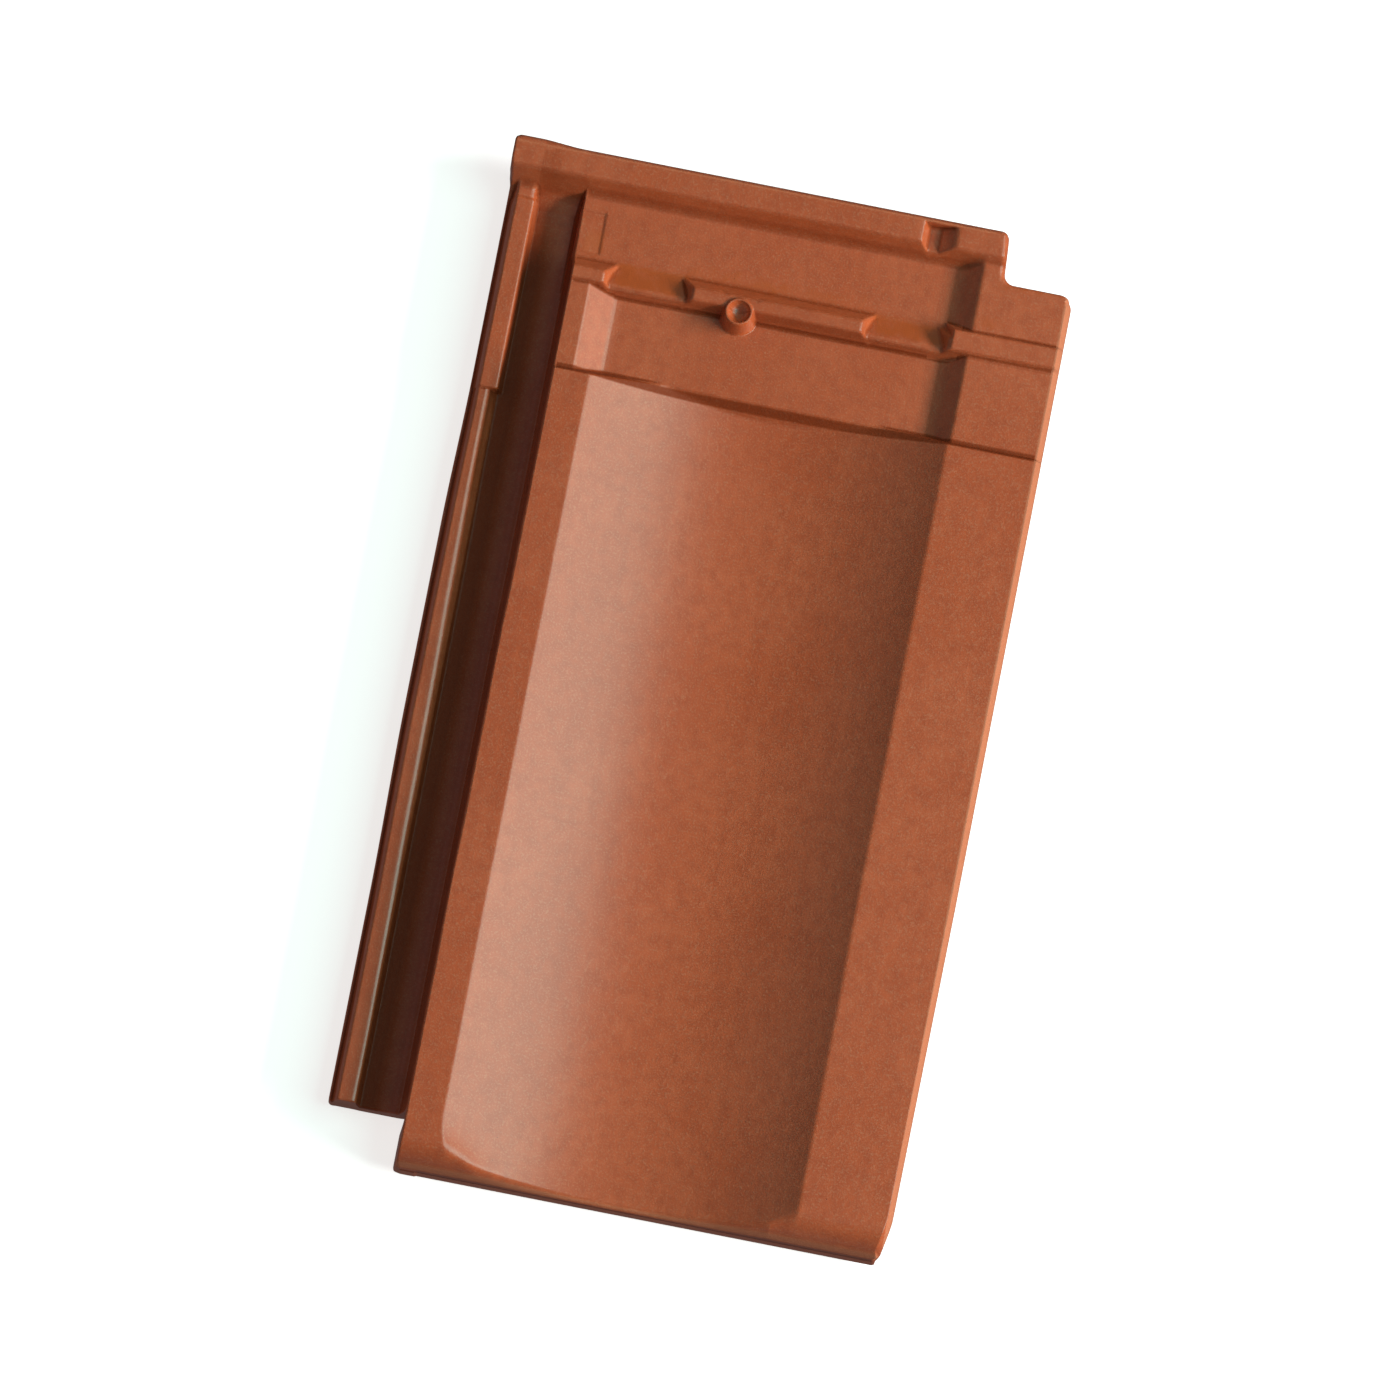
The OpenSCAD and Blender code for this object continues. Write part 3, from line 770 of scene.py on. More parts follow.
def add_node(tree: bpy.types.NodeTree, kind: str, settings: dict | None = None,
             inputs: dict | None = None) -> bpy.types.Node:
    """Adds a node to a tree.

    Args:
        tree: The tree.
        kind: The node's type name.
        settings: Its properties and their values.
        inputs: For each input, by name or number, a value or the output that feeds it.

    Returns:
        The new node.
    """
    node = tree.nodes.new(kind)
    for name, value in (settings or {}).items():
        setattr(node, name, value)
    for key, value in (inputs or {}).items():
        if isinstance(value, bpy.types.NodeSocket):
            tree.links.new(value, node.inputs[key])
        else:
            node.inputs[key].default_value = value
    return node


@dataclass(frozen=True)
class EngobedClay:
    """Fired clay under a thin matt engobe, sprayed on the pressed tile before firing.

    The engobe is a clay slip that sinters to a dense, faintly silky coat, so broad light slides over it in a soft
    sheen. It is uneven: clouds a hand wide, mottles of a few millimetres, the grit of the body showing through, and
    places where the slip is thin and the raw clay comes out more orange, with small dark pits. The edge attribute
    also paints shade into creases, the side channel and lines along the water step and the second rib, and a lighter
    abraded colour along edges that is partly real abrasion and partly painted highlight. Lengths in mm are the sizes
    of the patterns, the bumps are in metres, and the last five values are how strongly each layer shows. Real grit is
    0.3 to 0.5 mm, too fine to show, so it is drawn at 0.9 mm.
    """

    body: str = "#c4582b"
    cloud: str = "#cb6136"
    deep: str = "#b34e27"
    # lighter abraded colour of edges and lines: partly real abrasion, partly painted highlight and painted reflection
    thin: str = "#c4591f"
    abrasion_and_highlight_colour: str = "#cb8767"
    # colour of the painted shade in creases, the side channel and the shadow lines
    painted_shade_colour: str = "#722d15"
    pit: str = "#5a2a1a"
    fleck: str = "#d08e6a"
    roughness: float = 0.42
    ior: float = 1.55
    shine: float = 0.15
    silk: float = 0.97
    silk_roughness: float = 0.3
    silk_ior: float = 2.0
    cloud_mm: float = 60.0
    mottle_mm: float = 6.0
    grain_mm: float = 0.9
    streak_mm: float = 4.0
    pit_gap_mm: float = 4.2
    mottle_bump: float = 0.00022
    grain_bump: float = 0.00013
    pit_bump: float = 0.0003
    streak: float = 0.3
    mottle: float = 0.75
    grit: float = 0.7
    # how strongly the lighter abraded colour shows, partly painted highlight
    abrasion_and_highlight: float = 0.7
    # how strongly the painted shade shows
    gathered: float = 0.85

    def dressed(self) -> bpy.types.Material:
        """Builds the material.

        Returns:
            The material, on Object coordinates and on the mesh's edge and thin attributes.
        """
        material = bpy.data.materials.new("fired_clay")
        material.use_nodes = True
        tree = material.node_tree
        tree.nodes.clear()
        # a Map Range's inputs are numbered: value, from low, from high, to low, to high; a Mix's colours are 6 and 7
        place = add_node(tree, "ShaderNodeTexCoord").outputs["Object"]
        along = add_node(tree, "ShaderNodeMapping", {}, {"Vector": place, "Scale": (1.0, 0.04, 1.0)}).outputs[0]
        cloud = add_node(tree, "ShaderNodeTexNoise", {}, {"Vector": place, "Scale": 1000.0 / self.cloud_mm,
                                                          "Detail": 3.0, "Roughness": 0.55}).outputs[0]
        mottle = add_node(tree, "ShaderNodeTexNoise", {}, {"Vector": place, "Scale": 1000.0 / self.mottle_mm,
                                                           "Detail": 4.0, "Roughness": 0.62}).outputs[0]
        grain = add_node(tree, "ShaderNodeTexNoise", {}, {"Vector": place, "Scale": 1000.0 / self.grain_mm,
                                                          "Detail": 3.0, "Roughness": 0.7}).outputs[0]
        streak = add_node(tree, "ShaderNodeTexNoise", {}, {"Vector": along, "Scale": 1000.0 / self.streak_mm,
                                                           "Detail": 2.0, "Roughness": 0.5}).outputs[0]
        # edge: below 0 painted shade, above 0 the lighter abraded colour, partly painted highlight
        edge = add_node(tree, "ShaderNodeAttribute", {"attribute_name": "edge"}).outputs["Fac"]
        thin = add_node(tree, "ShaderNodeAttribute", {"attribute_name": "thin"}).outputs["Fac"]
        # clouds and lengthwise streaks of the spray, then mottles and grit
        cloudy = add_node(tree, "ShaderNodeMapRange", {"interpolation_type": "SMOOTHSTEP"},
                          {0: cloud, 1: 0.38, 2: 0.64, 3: 0.0, 4: 1.0}).outputs[0]
        colour = add_node(tree, "ShaderNodeMix", {"data_type": "RGBA"},
                          {0: cloudy, 6: linear(self.body), 7: linear(self.cloud)}).outputs[2]
        streaked = add_node(tree, "ShaderNodeMapRange", {},
                            {0: streak, 1: 0.42, 2: 0.75, 3: 0.0, 4: self.streak}).outputs[0]
        colour = add_node(tree, "ShaderNodeMix", {"data_type": "RGBA"},
                          {0: streaked, 6: colour, 7: linear(self.deep)}).outputs[2]
        mottled = add_node(tree, "ShaderNodeMapRange", {},
                           {0: mottle, 1: 0.40, 2: 0.72, 3: 0.0, 4: self.mottle}).outputs[0]
        colour = add_node(tree, "ShaderNodeMix", {"data_type": "RGBA"},
                          {0: mottled, 6: colour, 7: linear(self.deep)}).outputs[2]
        gritty = add_node(tree, "ShaderNodeMapRange", {},
                          {0: grain, 1: 0.50, 2: 0.80, 3: 0.0, 4: self.grit}).outputs[0]
        colour = add_node(tree, "ShaderNodeMix", {"data_type": "RGBA"},
                          {0: gritty, 6: colour, 7: linear(self.fleck)}).outputs[2]
        # raw clay where the slip is thin, broken up by the mottles
        patch = add_node(tree, "ShaderNodeMath", {"operation": "MULTIPLY_ADD"},
                         {0: mottle, 1: 1.6, 2: -0.8}).outputs[0]
        patch = add_node(tree, "ShaderNodeMath", {"operation": "ADD"}, {0: patch, 1: thin}).outputs[0]
        patchy = add_node(tree, "ShaderNodeMapRange", {"interpolation_type": "SMOOTHSTEP"},
                          {0: patch, 1: 0.22, 2: 0.95, 3: 0.0, 4: 0.9}).outputs[0]
        colour = add_node(tree, "ShaderNodeMix", {"data_type": "RGBA"},
                          {0: patchy, 6: colour, 7: linear(self.thin)}).outputs[2]
        # lighter abraded colour on convex edges and lines, partly real abrasion and partly painted highlight, and
        # painted shade, darker, in the creases, the side channel and the shadow lines
        abrasion_and_highlight_mix = add_node(tree, "ShaderNodeMapRange", {},
                          {0: edge, 1: 0.08, 2: 0.9, 3: 0.0, 4: self.abrasion_and_highlight}).outputs[0]
        colour = add_node(tree, "ShaderNodeMix", {"data_type": "RGBA"},
                          {0: abrasion_and_highlight_mix, 6: colour, 7: linear(self.abrasion_and_highlight_colour)}).outputs[2]
        painted_shade_mix = add_node(tree, "ShaderNodeMapRange", {},
                           {0: edge, 1: -0.08, 2: -0.9, 3: 0.0, 4: self.gathered}).outputs[0]
        colour = add_node(tree, "ShaderNodeMix", {"data_type": "RGBA"},
                          {0: painted_shade_mix, 6: colour, 7: linear(self.painted_shade_colour)}).outputs[2]
        # pits about 1 mm across, few on the face and more where the slip is thin
        cells = add_node(tree, "ShaderNodeTexVoronoi", {},
                         {"Vector": place, "Scale": 1000.0 / self.pit_gap_mm, "Randomness": 1.0})
        reach = add_node(tree, "ShaderNodeMath", {"operation": "MULTIPLY_ADD"},
                         {0: thin, 1: 0.10, 2: 0.055}).outputs[0]
        chosen = add_node(tree, "ShaderNodeSeparateColor", {}, {0: cells.outputs["Color"]}).outputs[0]
        chosen = add_node(tree, "ShaderNodeMapRange", {},
                          {0: chosen, 1: 0.72, 2: 1.0, 3: 0.0, 4: 1.0}).outputs[0]
        reach = add_node(tree, "ShaderNodeMath", {"operation": "MULTIPLY"}, {0: reach, 1: chosen}).outputs[0]
        inside = add_node(tree, "ShaderNodeMath", {"operation": "SUBTRACT"},
                          {0: reach, 1: cells.outputs["Distance"]}).outputs[0]
        pitted = add_node(tree, "ShaderNodeMapRange", {},
                          {0: inside, 1: 0.0, 2: 0.03, 3: 0.0, 4: 0.75}).outputs[0]
        colour = add_node(tree, "ShaderNodeMix", {"data_type": "RGBA"},
                          {0: pitted, 6: colour, 7: linear(self.pit)}).outputs[2]
        # the coat's sheen is broken by the mottles, and raw clay is rougher
        rough = add_node(tree, "ShaderNodeMapRange", {},
                         {0: mottle, 1: 0.3, 2: 0.7, 3: self.roughness - 0.04, 4: self.roughness + 0.07}).outputs[0]
        rough = add_node(tree, "ShaderNodeMath", {"operation": "MULTIPLY_ADD"},
                         {0: patchy, 1: 0.12, 2: rough}).outputs[0]
        bump = add_node(tree, "ShaderNodeBump", {},
                        {"Height": mottle, "Strength": 1.0, "Distance": self.mottle_bump}).outputs[0]
        bump = add_node(tree, "ShaderNodeBump", {},
                        {"Height": grain, "Strength": 1.0, "Distance": self.grain_bump, "Normal": bump}).outputs[0]
        bump = add_node(tree, "ShaderNodeBump", {"invert": True},
                        {"Height": pitted, "Strength": 1.0, "Distance": self.pit_bump, "Normal": bump}).outputs[0]
        # the silk is turned down where the edge attribute paints shade, and mostly where it makes edges lighter
        silky = add_node(tree, "ShaderNodeMapRange", {},
                         {0: edge, 1: -0.1, 2: -0.7, 3: self.silk, 4: 0.05}).outputs[0]
        dull = add_node(tree, "ShaderNodeMapRange", {},
                        {0: edge, 1: 0.06, 2: 0.42, 3: self.silk, 4: 0.12}).outputs[0]
        silky = add_node(tree, "ShaderNodeMath", {"operation": "MINIMUM"}, {0: silky, 1: dull}).outputs[0]
        shader = add_node(tree, "ShaderNodeBsdfPrincipled", {},
                          {"Base Color": colour, "Roughness": rough, "IOR": self.ior, "Normal": bump,
                           "Specular IOR Level": self.shine, "Coat Weight": silky, "Coat IOR": self.silk_ior,
                           "Coat Roughness": self.silk_roughness}).outputs[0]
        add_node(tree, "ShaderNodeOutputMaterial", {}, {"Surface": shader})
        return material


@dataclass(frozen=True)
class PaleFloor:
    """Matt white studio paper lit from behind, which stays even and pale and leaves only faint shadows."""

    colour: str = "#f6f5f3"
    roughness: float = 0.9
    glow: float = 0.8

    def dressed(self) -> bpy.types.Material:
        """Builds the floor's material.

        Returns:
            The material.
        """
        material = bpy.data.materials.new("studio_paper")
        material.use_nodes = True
        tree = material.node_tree
        tree.nodes.clear()
        shader = add_node(tree, "ShaderNodeBsdfPrincipled", {},
                          {"Base Color": linear(self.colour), "Roughness": self.roughness, "Specular IOR Level": 0.2,
                           "Emission Color": linear(self.colour), "Emission Strength": self.glow}).outputs[0]
        add_node(tree, "ShaderNodeOutputMaterial", {}, {"Surface": shader})
        return material


# ---------------------------------------------------------------- the tile


@dataclass
class Shell:
    """Vertices and faces of a mesh as they are gathered, in tile millimetres."""

    points: list[np.ndarray] = field(default_factory=list)
    quads: list[np.ndarray] = field(default_factory=list)
    triangles: list[np.ndarray] = field(default_factory=list)
    count: int = 0

    def add(self, points: np.ndarray) -> int:
        """Adds vertices.

        Args:
            points: Their places, one row each.

        Returns:
            The number of the first of them.
        """
        first = self.count
        self.points.append(points)
        self.count += len(points)
        return first

    def ring_quads(self, upper: np.ndarray, lower: np.ndarray) -> None:
        """Joins two closed rings of equal count with quads, the second below or inside the first."""
        self.quads.append(np.column_stack([upper, np.roll(upper, -1), np.roll(lower, -1), lower]))

    def zip_rings(self, upper: np.ndarray, upper_far: np.ndarray, lower: np.ndarray, lower_far: np.ndarray,
                  total: float) -> None:
        """Joins two closed rings of different counts with triangles.

        Both rings start at the same place. The next vertex on either ring, by how far round it is, makes a triangle
        with the edge that leads to it and the vertex reached on the other ring.

        Args:
            upper: Vertices of the first ring.
            upper_far: How far round each is, rising from 0.
            lower: Vertices of the second ring.
            lower_far: How far round each of those is.
            total: How far round the start is again.
        """
        far = np.concatenate([upper_far[1:], [total], lower_far[1:], [total]])
        on_upper = np.concatenate([np.ones(len(upper), bool), np.zeros(len(lower), bool)])
        on_upper = on_upper[np.argsort(far, kind="stable")]
        i, j = np.cumsum(on_upper), np.cumsum(~on_upper)
        a = upper[(i - on_upper) % len(upper)]
        b = np.where(on_upper, upper[i % len(upper)], lower[j % len(lower)])
        c = lower[(j - ~on_upper) % len(lower)]
        self.triangles.append(np.column_stack([a, b, c]))


@dataclass
class RoofTile:
    """The whole tile, one closed surface of fired clay.

    The middle values are the place on the tile that the CAD's frame has as its origin.
    """

    outline: Outline = field(default_factory=Outline)
    head_rib: HeadRib = field(default_factory=HeadRib)
    side_lock: SideLock = field(default_factory=SideLock)
    head_lock: HeadLock = field(default_factory=HeadLock)
    second_rib: SecondRib = field(default_factory=SecondRib)
    boss: FixingBoss = field(default_factory=FixingBoss)
    face: WeatherFace = field(default_factory=WeatherFace)
    underside: Underside = field(default_factory=Underside)
    finish: EngobedClay = field(default_factory=EngobedClay)
    middle_u: float = 126.5
    middle_v: float = 232.9
    face_height: float = 34.0
    # how far pressed clay drifts, how much of its drift in height it settles by, and the stretch at the foot where
    # its height holds firm
    drift: float = 0.2
    settling: float = 1.2
    firm_foot: float = 12.0
    # a vertex this near to the top lies on it; how far round it heights are compared, and the relief of a full edge
    top_reach: float = 2.0
    edge_reach: float = 1.2
    edge_relief: float = 0.45
    # radius of the rounded edge along each side of the outline, in the order of Side
    edge_radius: tuple[float, ...] = (1.4, 2.8, 1.8, 0.6, 0.3, 0.9, 0.8, 0.5)
    # the head edge's bevel and the right side's: distances from the edge, and how far the top has dropped there
    head_bevel: tuple[tuple[float, ...], tuple[float, ...]] = ((-1.0, 0.0, 1.4, 9.0), (2.9, 1.7, 0.0, 0.0))
    right_bevel: tuple[tuple[float, ...], tuple[float, ...]] = ((-1.0, 0.0, 0.5, 2.4, 9.0), (9.0, 6.0, 3.0, 0.0, 0.0))
    # how far the right wall draws in on its way down, how far the wall beside the foot spreads out and over which
    # rows, how far the front strip stands back, and where across the tile its lug ends
    right_draft: float = 1.8
    foot_spread: float = 1.1
    foot_spread_rows: tuple[float, float] = (443.0, 450.0)
    strip_setback: float = 0.4
    lug_end: tuple[float, float] = (43.4, 44.2)
    # the outer wall's rings: how far down each lies, how far it tucks in, and how far the front strip stands back
    wall_parts: tuple[float, ...] = (0.02, 0.05, 0.10, 0.25, 0.45, 0.65, 0.82, 0.92, 0.975, 1.0)
    wall_tuck: tuple[float, ...] = (0.0, 0.0, 0.0, 0.0, 0.0, 0.0, 0.0, 0.0, 0.25, 0.8)
    wall_seam: tuple[float, ...] = (0.55, 0.9, 0.45, 0.4, 0.4, 0.4, 0.4, 0.4, 0.4, 0.4)
    # how far the underside is drawn in from the outline, and the least height of the top above it
    under_inset: float = 1.5
    thinnest: float = 0.4
    # how many places are measured against the whole outline at once
    batch: int = 4000
    # how thin the slip is in each patch, and the patch's ends and soft border across the tile and along it
    thin_patches: tuple[tuple[float, tuple[float, float, float], tuple[float, float, float]], ...] = (
        (0.55, (34.0, 50.0, 5.0), (27.0, 50.0, 8.0)), (0.55, (78.0, 176.0, 12.0), (36.0, 50.0, 6.0)),
        (0.85, (50.0, 88.0, 6.0), (44.0, 59.0, 3.0)), (0.75, (166.0, 208.0, 6.0), (44.0, 58.0, 4.0)),
        (0.55, (208.0, 232.0, 8.0), (37.0, 47.0, 4.0)), (0.45, (216.0, 252.0, 6.0), (20.0, 28.0, 3.0)),
        (0.35, (18.0, 34.0, 5.0), (44.0, 62.0, 6.0)))
    # stretches of the grid over the top and under it, each with the place where it ends and its widest gap between
    # lines, finer where the shape turns quickly
    top_u: tuple[tuple[float, float], ...] = (
        (5.0, 0.5), (11.0, 1.5), (17.0, 0.55), (30.5, 2.3), (34.6, 0.38), (37.5, 0.45), (42.0, 1.2), (46.0, 0.5),
        (56.8, 0.55), (82.0, 3.2), (90.5, 0.55), (100.7, 2.1), (119.9, 0.9), (158.5, 4.0), (172.5, 0.6), (183.0, 2.6),
        (214.5, 0.55), (218.0, 0.9), (221.8, 0.45), (229.0, 0.9), (247.6, 3.2), (251.0, 0.8), (254.6, 0.3))
    top_v: tuple[tuple[float, float], ...] = (
        (3.0, 0.4), (10.5, 2.0), (18.6, 0.45), (22.6, 0.5), (25.0, 0.45), (28.6, 0.8), (42.8, 3.0), (49.9, 0.5),
        (69.1, 0.5), (94.5, 3.8), (104.0, 0.45), (110.8, 1.6), (114.0, 0.45), (430.0, 9.0), (440.6, 1.6),
        (442.6, 0.4), (452.0, 1.6), (460.0, 0.8), (467.0, 0.35))
    under_u: tuple[tuple[float, float], ...] = (
        (34.6, 5.0), (40.6, 3.0), (42.6, 0.5), (43.8, 0.6), (45.2, 0.7), (50.6, 2.8), (54.2, 0.6), (92.0, 5.0),
        (95.4, 0.6), (167.6, 6.0), (171.2, 0.6), (209.0, 5.0), (214.4, 0.6), (216.4, 0.5), (221.8, 2.8), (225.9, 2.1),
        (227.3, 0.5), (240.4, 3.3), (241.8, 0.5), (254.6, 4.4))
    under_v: tuple[tuple[float, float], ...] = (
        (12.0, 4.0), (13.2, 0.4), (17.2, 2.0), (20.6, 0.6), (22.6, 1.0), (30.0, 3.7), (31.0, 0.35), (95.9, 10.0),
        (97.1, 0.4), (107.4, 5.2), (108.8, 0.5), (433.0, 18.0), (435.6, 0.5), (442.6, 3.5), (446.6, 2.0),
        (449.0, 0.5), (457.0, 4.0), (458.4, 0.4), (467.0, 4.4))

    def top(self, u: np.ndarray, v: np.ndarray) -> np.ndarray:
        """Height of the top of the tile without its boss.

        The head lock, the second rib and the weather face are joined as the highest of them, the channel's wall cuts
        them at the left, and the side lock and the head rib are joined to that. The last number of each join is the
        width of its fillet. The places drift by a fifth of a millimetre and the heights by a tenth, as pressed clay
        does in drying and firing.

        Args:
            u: Places across the tile.
            v: Places along the tile.

        Returns:
            The heights.
        """
        at_u, at_v = u + self.drift * waver(u, v, 0.4), v + self.drift * waver(u, v, 2.3)
        inner = soft_max(self.head_lock.height(at_u, at_v), self.second_rib.height(at_u, at_v), 1.4)
        inner = soft_max(inner, self.face.height(at_u, v), 1.2)
        inner = soft_min(inner, self.side_lock.wall(at_u), 1.1)
        joined = soft_max(inner, self.side_lock.height(at_u, at_v), 1.4)
        joined = soft_max(joined, self.head_rib.height(at_u, at_v), 4.5)
        settled = self.drift / 2.0 * (waver(u, v, 5.1) - self.settling)
        return joined + settled * ramp(v, self.outline.length, self.outline.length - self.firm_foot)

    def smoothed(self, values: np.ndarray, reach: int = 3) -> np.ndarray:
        """Running mean of values round a closed ring, over a few vertices each way."""
        return sum(np.roll(values, k) for k in range(-reach, reach + 1)) / (2 * reach + 1)

    def outward(self, points: np.ndarray) -> np.ndarray:
        """Outward directions along a closed ring: a quarter turn from the line between the two neighbours.

        Args:
            points: Places across and along, walked clockwise as seen from above.

        Returns:
            A direction of length 1 for each place.
        """
        run = np.roll(points, -1, axis=0) - np.roll(points, 1, axis=0)
        run = run / np.maximum(np.linalg.norm(run, axis=1, keepdims=True), 1e-9)
        return np.column_stack([run[:, 1], -run[:, 0]])

    def edge_drop(self, u: np.ndarray, v: np.ndarray, ring: np.ndarray, sides: np.ndarray) -> np.ndarray:
        """How far the top falls away near the outline.

        The nearest point on each outline segment gives the distance d. Along most sides the edge is a quarter round,
        r - sqrt(r^2 - (r - d)^2). Along the head it is a short bevel, and along the right side one 2.4 mm wide that
        steepens to its foot. Only places near the outline are worked out.

        Args:
            u: Places across the tile.
            v: Places along the tile.
            ring: Places of the outline's vertices.
            sides: The side of each.

        Returns:
            The drop in millimetres.
        """
        radii = self.smoothed(np.asarray(self.edge_radius)[sides])
        bevel = self.smoothed((sides == Side.RIGHT.value).astype(float))
        crest = self.smoothed((sides == Side.HEAD.value).astype(float))
        ends = np.roll(ring, -1, axis=0)
        drop = np.zeros(len(u))
        near_sides = (u < 6.0) | (u > 248.0) | (v < 6.0) | (v > 461.0)
        near_notches = ((u > 213.5) & (v < 32.0)) | ((u < 41.0) & (v > 438.0))
        close = np.flatnonzero(near_sides | near_notches)
        for part in np.array_split(close, max(len(close) // self.batch, 1)):
            away = np.column_stack([u[part], v[part]])[:, None, :] - ring[None, :, :]
            run = (ends - ring)[None, :, :]
            t = np.clip((away * run).sum(2) / np.maximum((run ** 2).sum(2), 1e-12), 0.0, 1.0)
            far = np.linalg.norm(away - t[..., None] * run, axis=2)
            nearest = far.argmin(1)
            d, r, w = far[np.arange(len(part)), nearest], radii[nearest], bevel[nearest]
            quarter = r - np.sqrt(np.maximum(r ** 2 - np.maximum(r - d, 0.0) ** 2, 0.0))
            quarter = np.where(crest[nearest] > 0.5, drawn(d, *self.head_bevel, 0.2), quarter)
            drop[part] = (1.0 - w) * quarter + w * drawn(d, *self.right_bevel, 0.25)
        return drop

    def boss_patch(self, shell: Shell, square: np.ndarray, positions: np.ndarray) -> None:
        """Fills the square left in the top grid round the boss with rings about its axis.

        The first ring goes from the square to a circle, the others have the boss's own radii. Outside the rim the
        height is the higher of the tile's top and the cone, and inside it is the cup's.

        Args:
            shell: The mesh being gathered.
            square: Vertices round the square.
            positions: Their places.
        """
        boss = self.boss
        centre = np.array([boss.u, boss.v])
        rays = positions - centre
        rays = rays / np.linalg.norm(rays, axis=1, keepdims=True)
        radii = np.repeat(np.asarray(boss.rings), len(square))
        places = centre + np.tile(rays, (len(boss.rings), 1)) * radii[:, None]
        places = np.vstack([places, centre])
        radii = np.append(radii, 0.0)
        outer = soft_max(self.top(places[:, 0], places[:, 1]), boss.cone(radii), boss.blend)
        heights = np.where(radii > boss.cup_radius + boss.cup_rim, outer, boss.cup(radii))
        first = shell.add(np.column_stack([places, heights]))
        rings = [square] + [first + np.arange(len(square)) + k * len(square) for k in range(len(boss.rings))]
        for outside, inside in zip(rings[:-1], rings[1:]):
            shell.ring_quads(inside, outside)
        last, tip = rings[-1], first + len(places) - 1
        shell.triangles.append(np.column_stack([np.roll(last, -1), last, np.full(len(last), tip)]))

    def wall_rings(self, shell: Shell, ring: np.ndarray, sides: np.ndarray) -> np.ndarray:
        """Builds the tile's outer wall from the top's outline down to the underside.

        Ring k lies a fixed part of the way down, moved out or in along the outline's outward direction: the right
        side draws in with its draft, the wall beside the foot spreads out, the front strip stands back under the nose
        but for its lug, and the bottom edge is rounded.

        Args:
            shell: The mesh being gathered.
            ring: Vertices of the top's outline.
            sides: The side of each.

        Returns:
            The vertices of the lowest ring.
        """
        top = np.vstack(shell.points)[ring]
        out = self.outward(top[:, :2])
        out = np.column_stack([self.smoothed(out[:, 0], 1), self.smoothed(out[:, 1], 1)])
        foot = self.smoothed((sides == Side.FOOT.value).astype(float), 2) * ramp(top[:, 0], *self.lug_end)
        draft = self.right_draft * self.smoothed((sides == Side.RIGHT.value).astype(float))
        spread = self.smoothed((sides == Side.FOOT_WALL.value).astype(float))
        spread = spread * ramp(top[:, 1], *self.foot_spread_rows) * self.foot_spread
        inset = self.wall_tuck[-1] + draft + self.strip_setback * foot - spread
        low = self.underside.height(top[:, 0] - inset * out[:, 0], top[:, 1] - inset * out[:, 1], self.face)
        low = np.minimum(low, top[:, 2] - 0.3)
        upper = ring
        for part, tuck, seam in zip(self.wall_parts, self.wall_tuck, self.wall_seam):
            move = -(tuck + part * (draft - spread) + seam * foot)
            places = top[:, :2] + move[:, None] * out
            first = shell.add(np.column_stack([places, top[:, 2] + (low - top[:, 2]) * part]))
            lower = first + np.arange(len(ring))
            shell.ring_quads(upper, lower)
            upper = lower
        return upper

    def build(self) -> bpy.types.Object:
        """Builds the tile's mesh.

        Returns:
            The object, at the origin, with edge and thin attributes on its vertices.
        """
        shell = Shell()
        loop, sides, far = self.add_top(shell)
        low_ring = self.wall_rings(shell, loop, sides)
        under_loop, under_far = self.add_underside(shell)
        shell.zip_rings(low_ring, far, under_loop, under_far, float(len(Side)))
        return self.meshed(shell)

    def add_top(self, shell: Shell) -> tuple[np.ndarray, np.ndarray, np.ndarray]:
        """Adds the top: a grid bent to the outline, z = top - edge drop, with the boss's rings in a square hole.

        Args:
            shell: The mesh being gathered.

        Returns:
            The outline's vertices, the side that each starts, and how far round it is.
        """
        lines_u, lines_v = spaced(self.top_u), spaced(self.top_v)
        grid_u, grid_v = np.meshgrid(lines_u, lines_v)
        u, v = self.outline.bent(grid_u.ravel(), grid_v.ravel())
        loop, sides, far = self.outline.walk(lines_u, lines_v)
        ring = np.column_stack([u, v])[loop]
        z = self.top(u, v) - self.edge_drop(u, v, ring, sides)
        z = np.maximum(z, self.underside.height(u, v, self.face) + self.thinnest)
        shell.add(np.column_stack([u, v, z]))
        boss, across = self.boss, len(lines_u)
        i0, i1 = (int(np.argmin(np.abs(lines_u - (boss.u + side * boss.half)))) for side in (-1, 1))
        j0, j1 = (int(np.argmin(np.abs(lines_v - (boss.v + side * boss.half)))) for side in (-1, 1))
        keep = self.outline.kept(lines_u, lines_v)
        keep[j0:j1, i0:i1] = False
        j, i = np.nonzero(keep)
        corner = j * across + i
        shell.quads.append(np.column_stack([corner, corner + across, corner + across + 1, corner + 1]))
        wide, tall = i1 - i0, j1 - j0
        square_i = np.concatenate([np.arange(i0, i1), np.full(tall, i1), np.arange(i1, i0, -1), np.full(tall, i0)])
        square_j = np.concatenate([np.full(wide, j0), np.arange(j0, j1), np.full(wide, j1), np.arange(j1, j0, -1)])
        square = square_j * across + square_i
        self.boss_patch(shell, square, np.column_stack([u, v])[square])
        return loop, sides, far

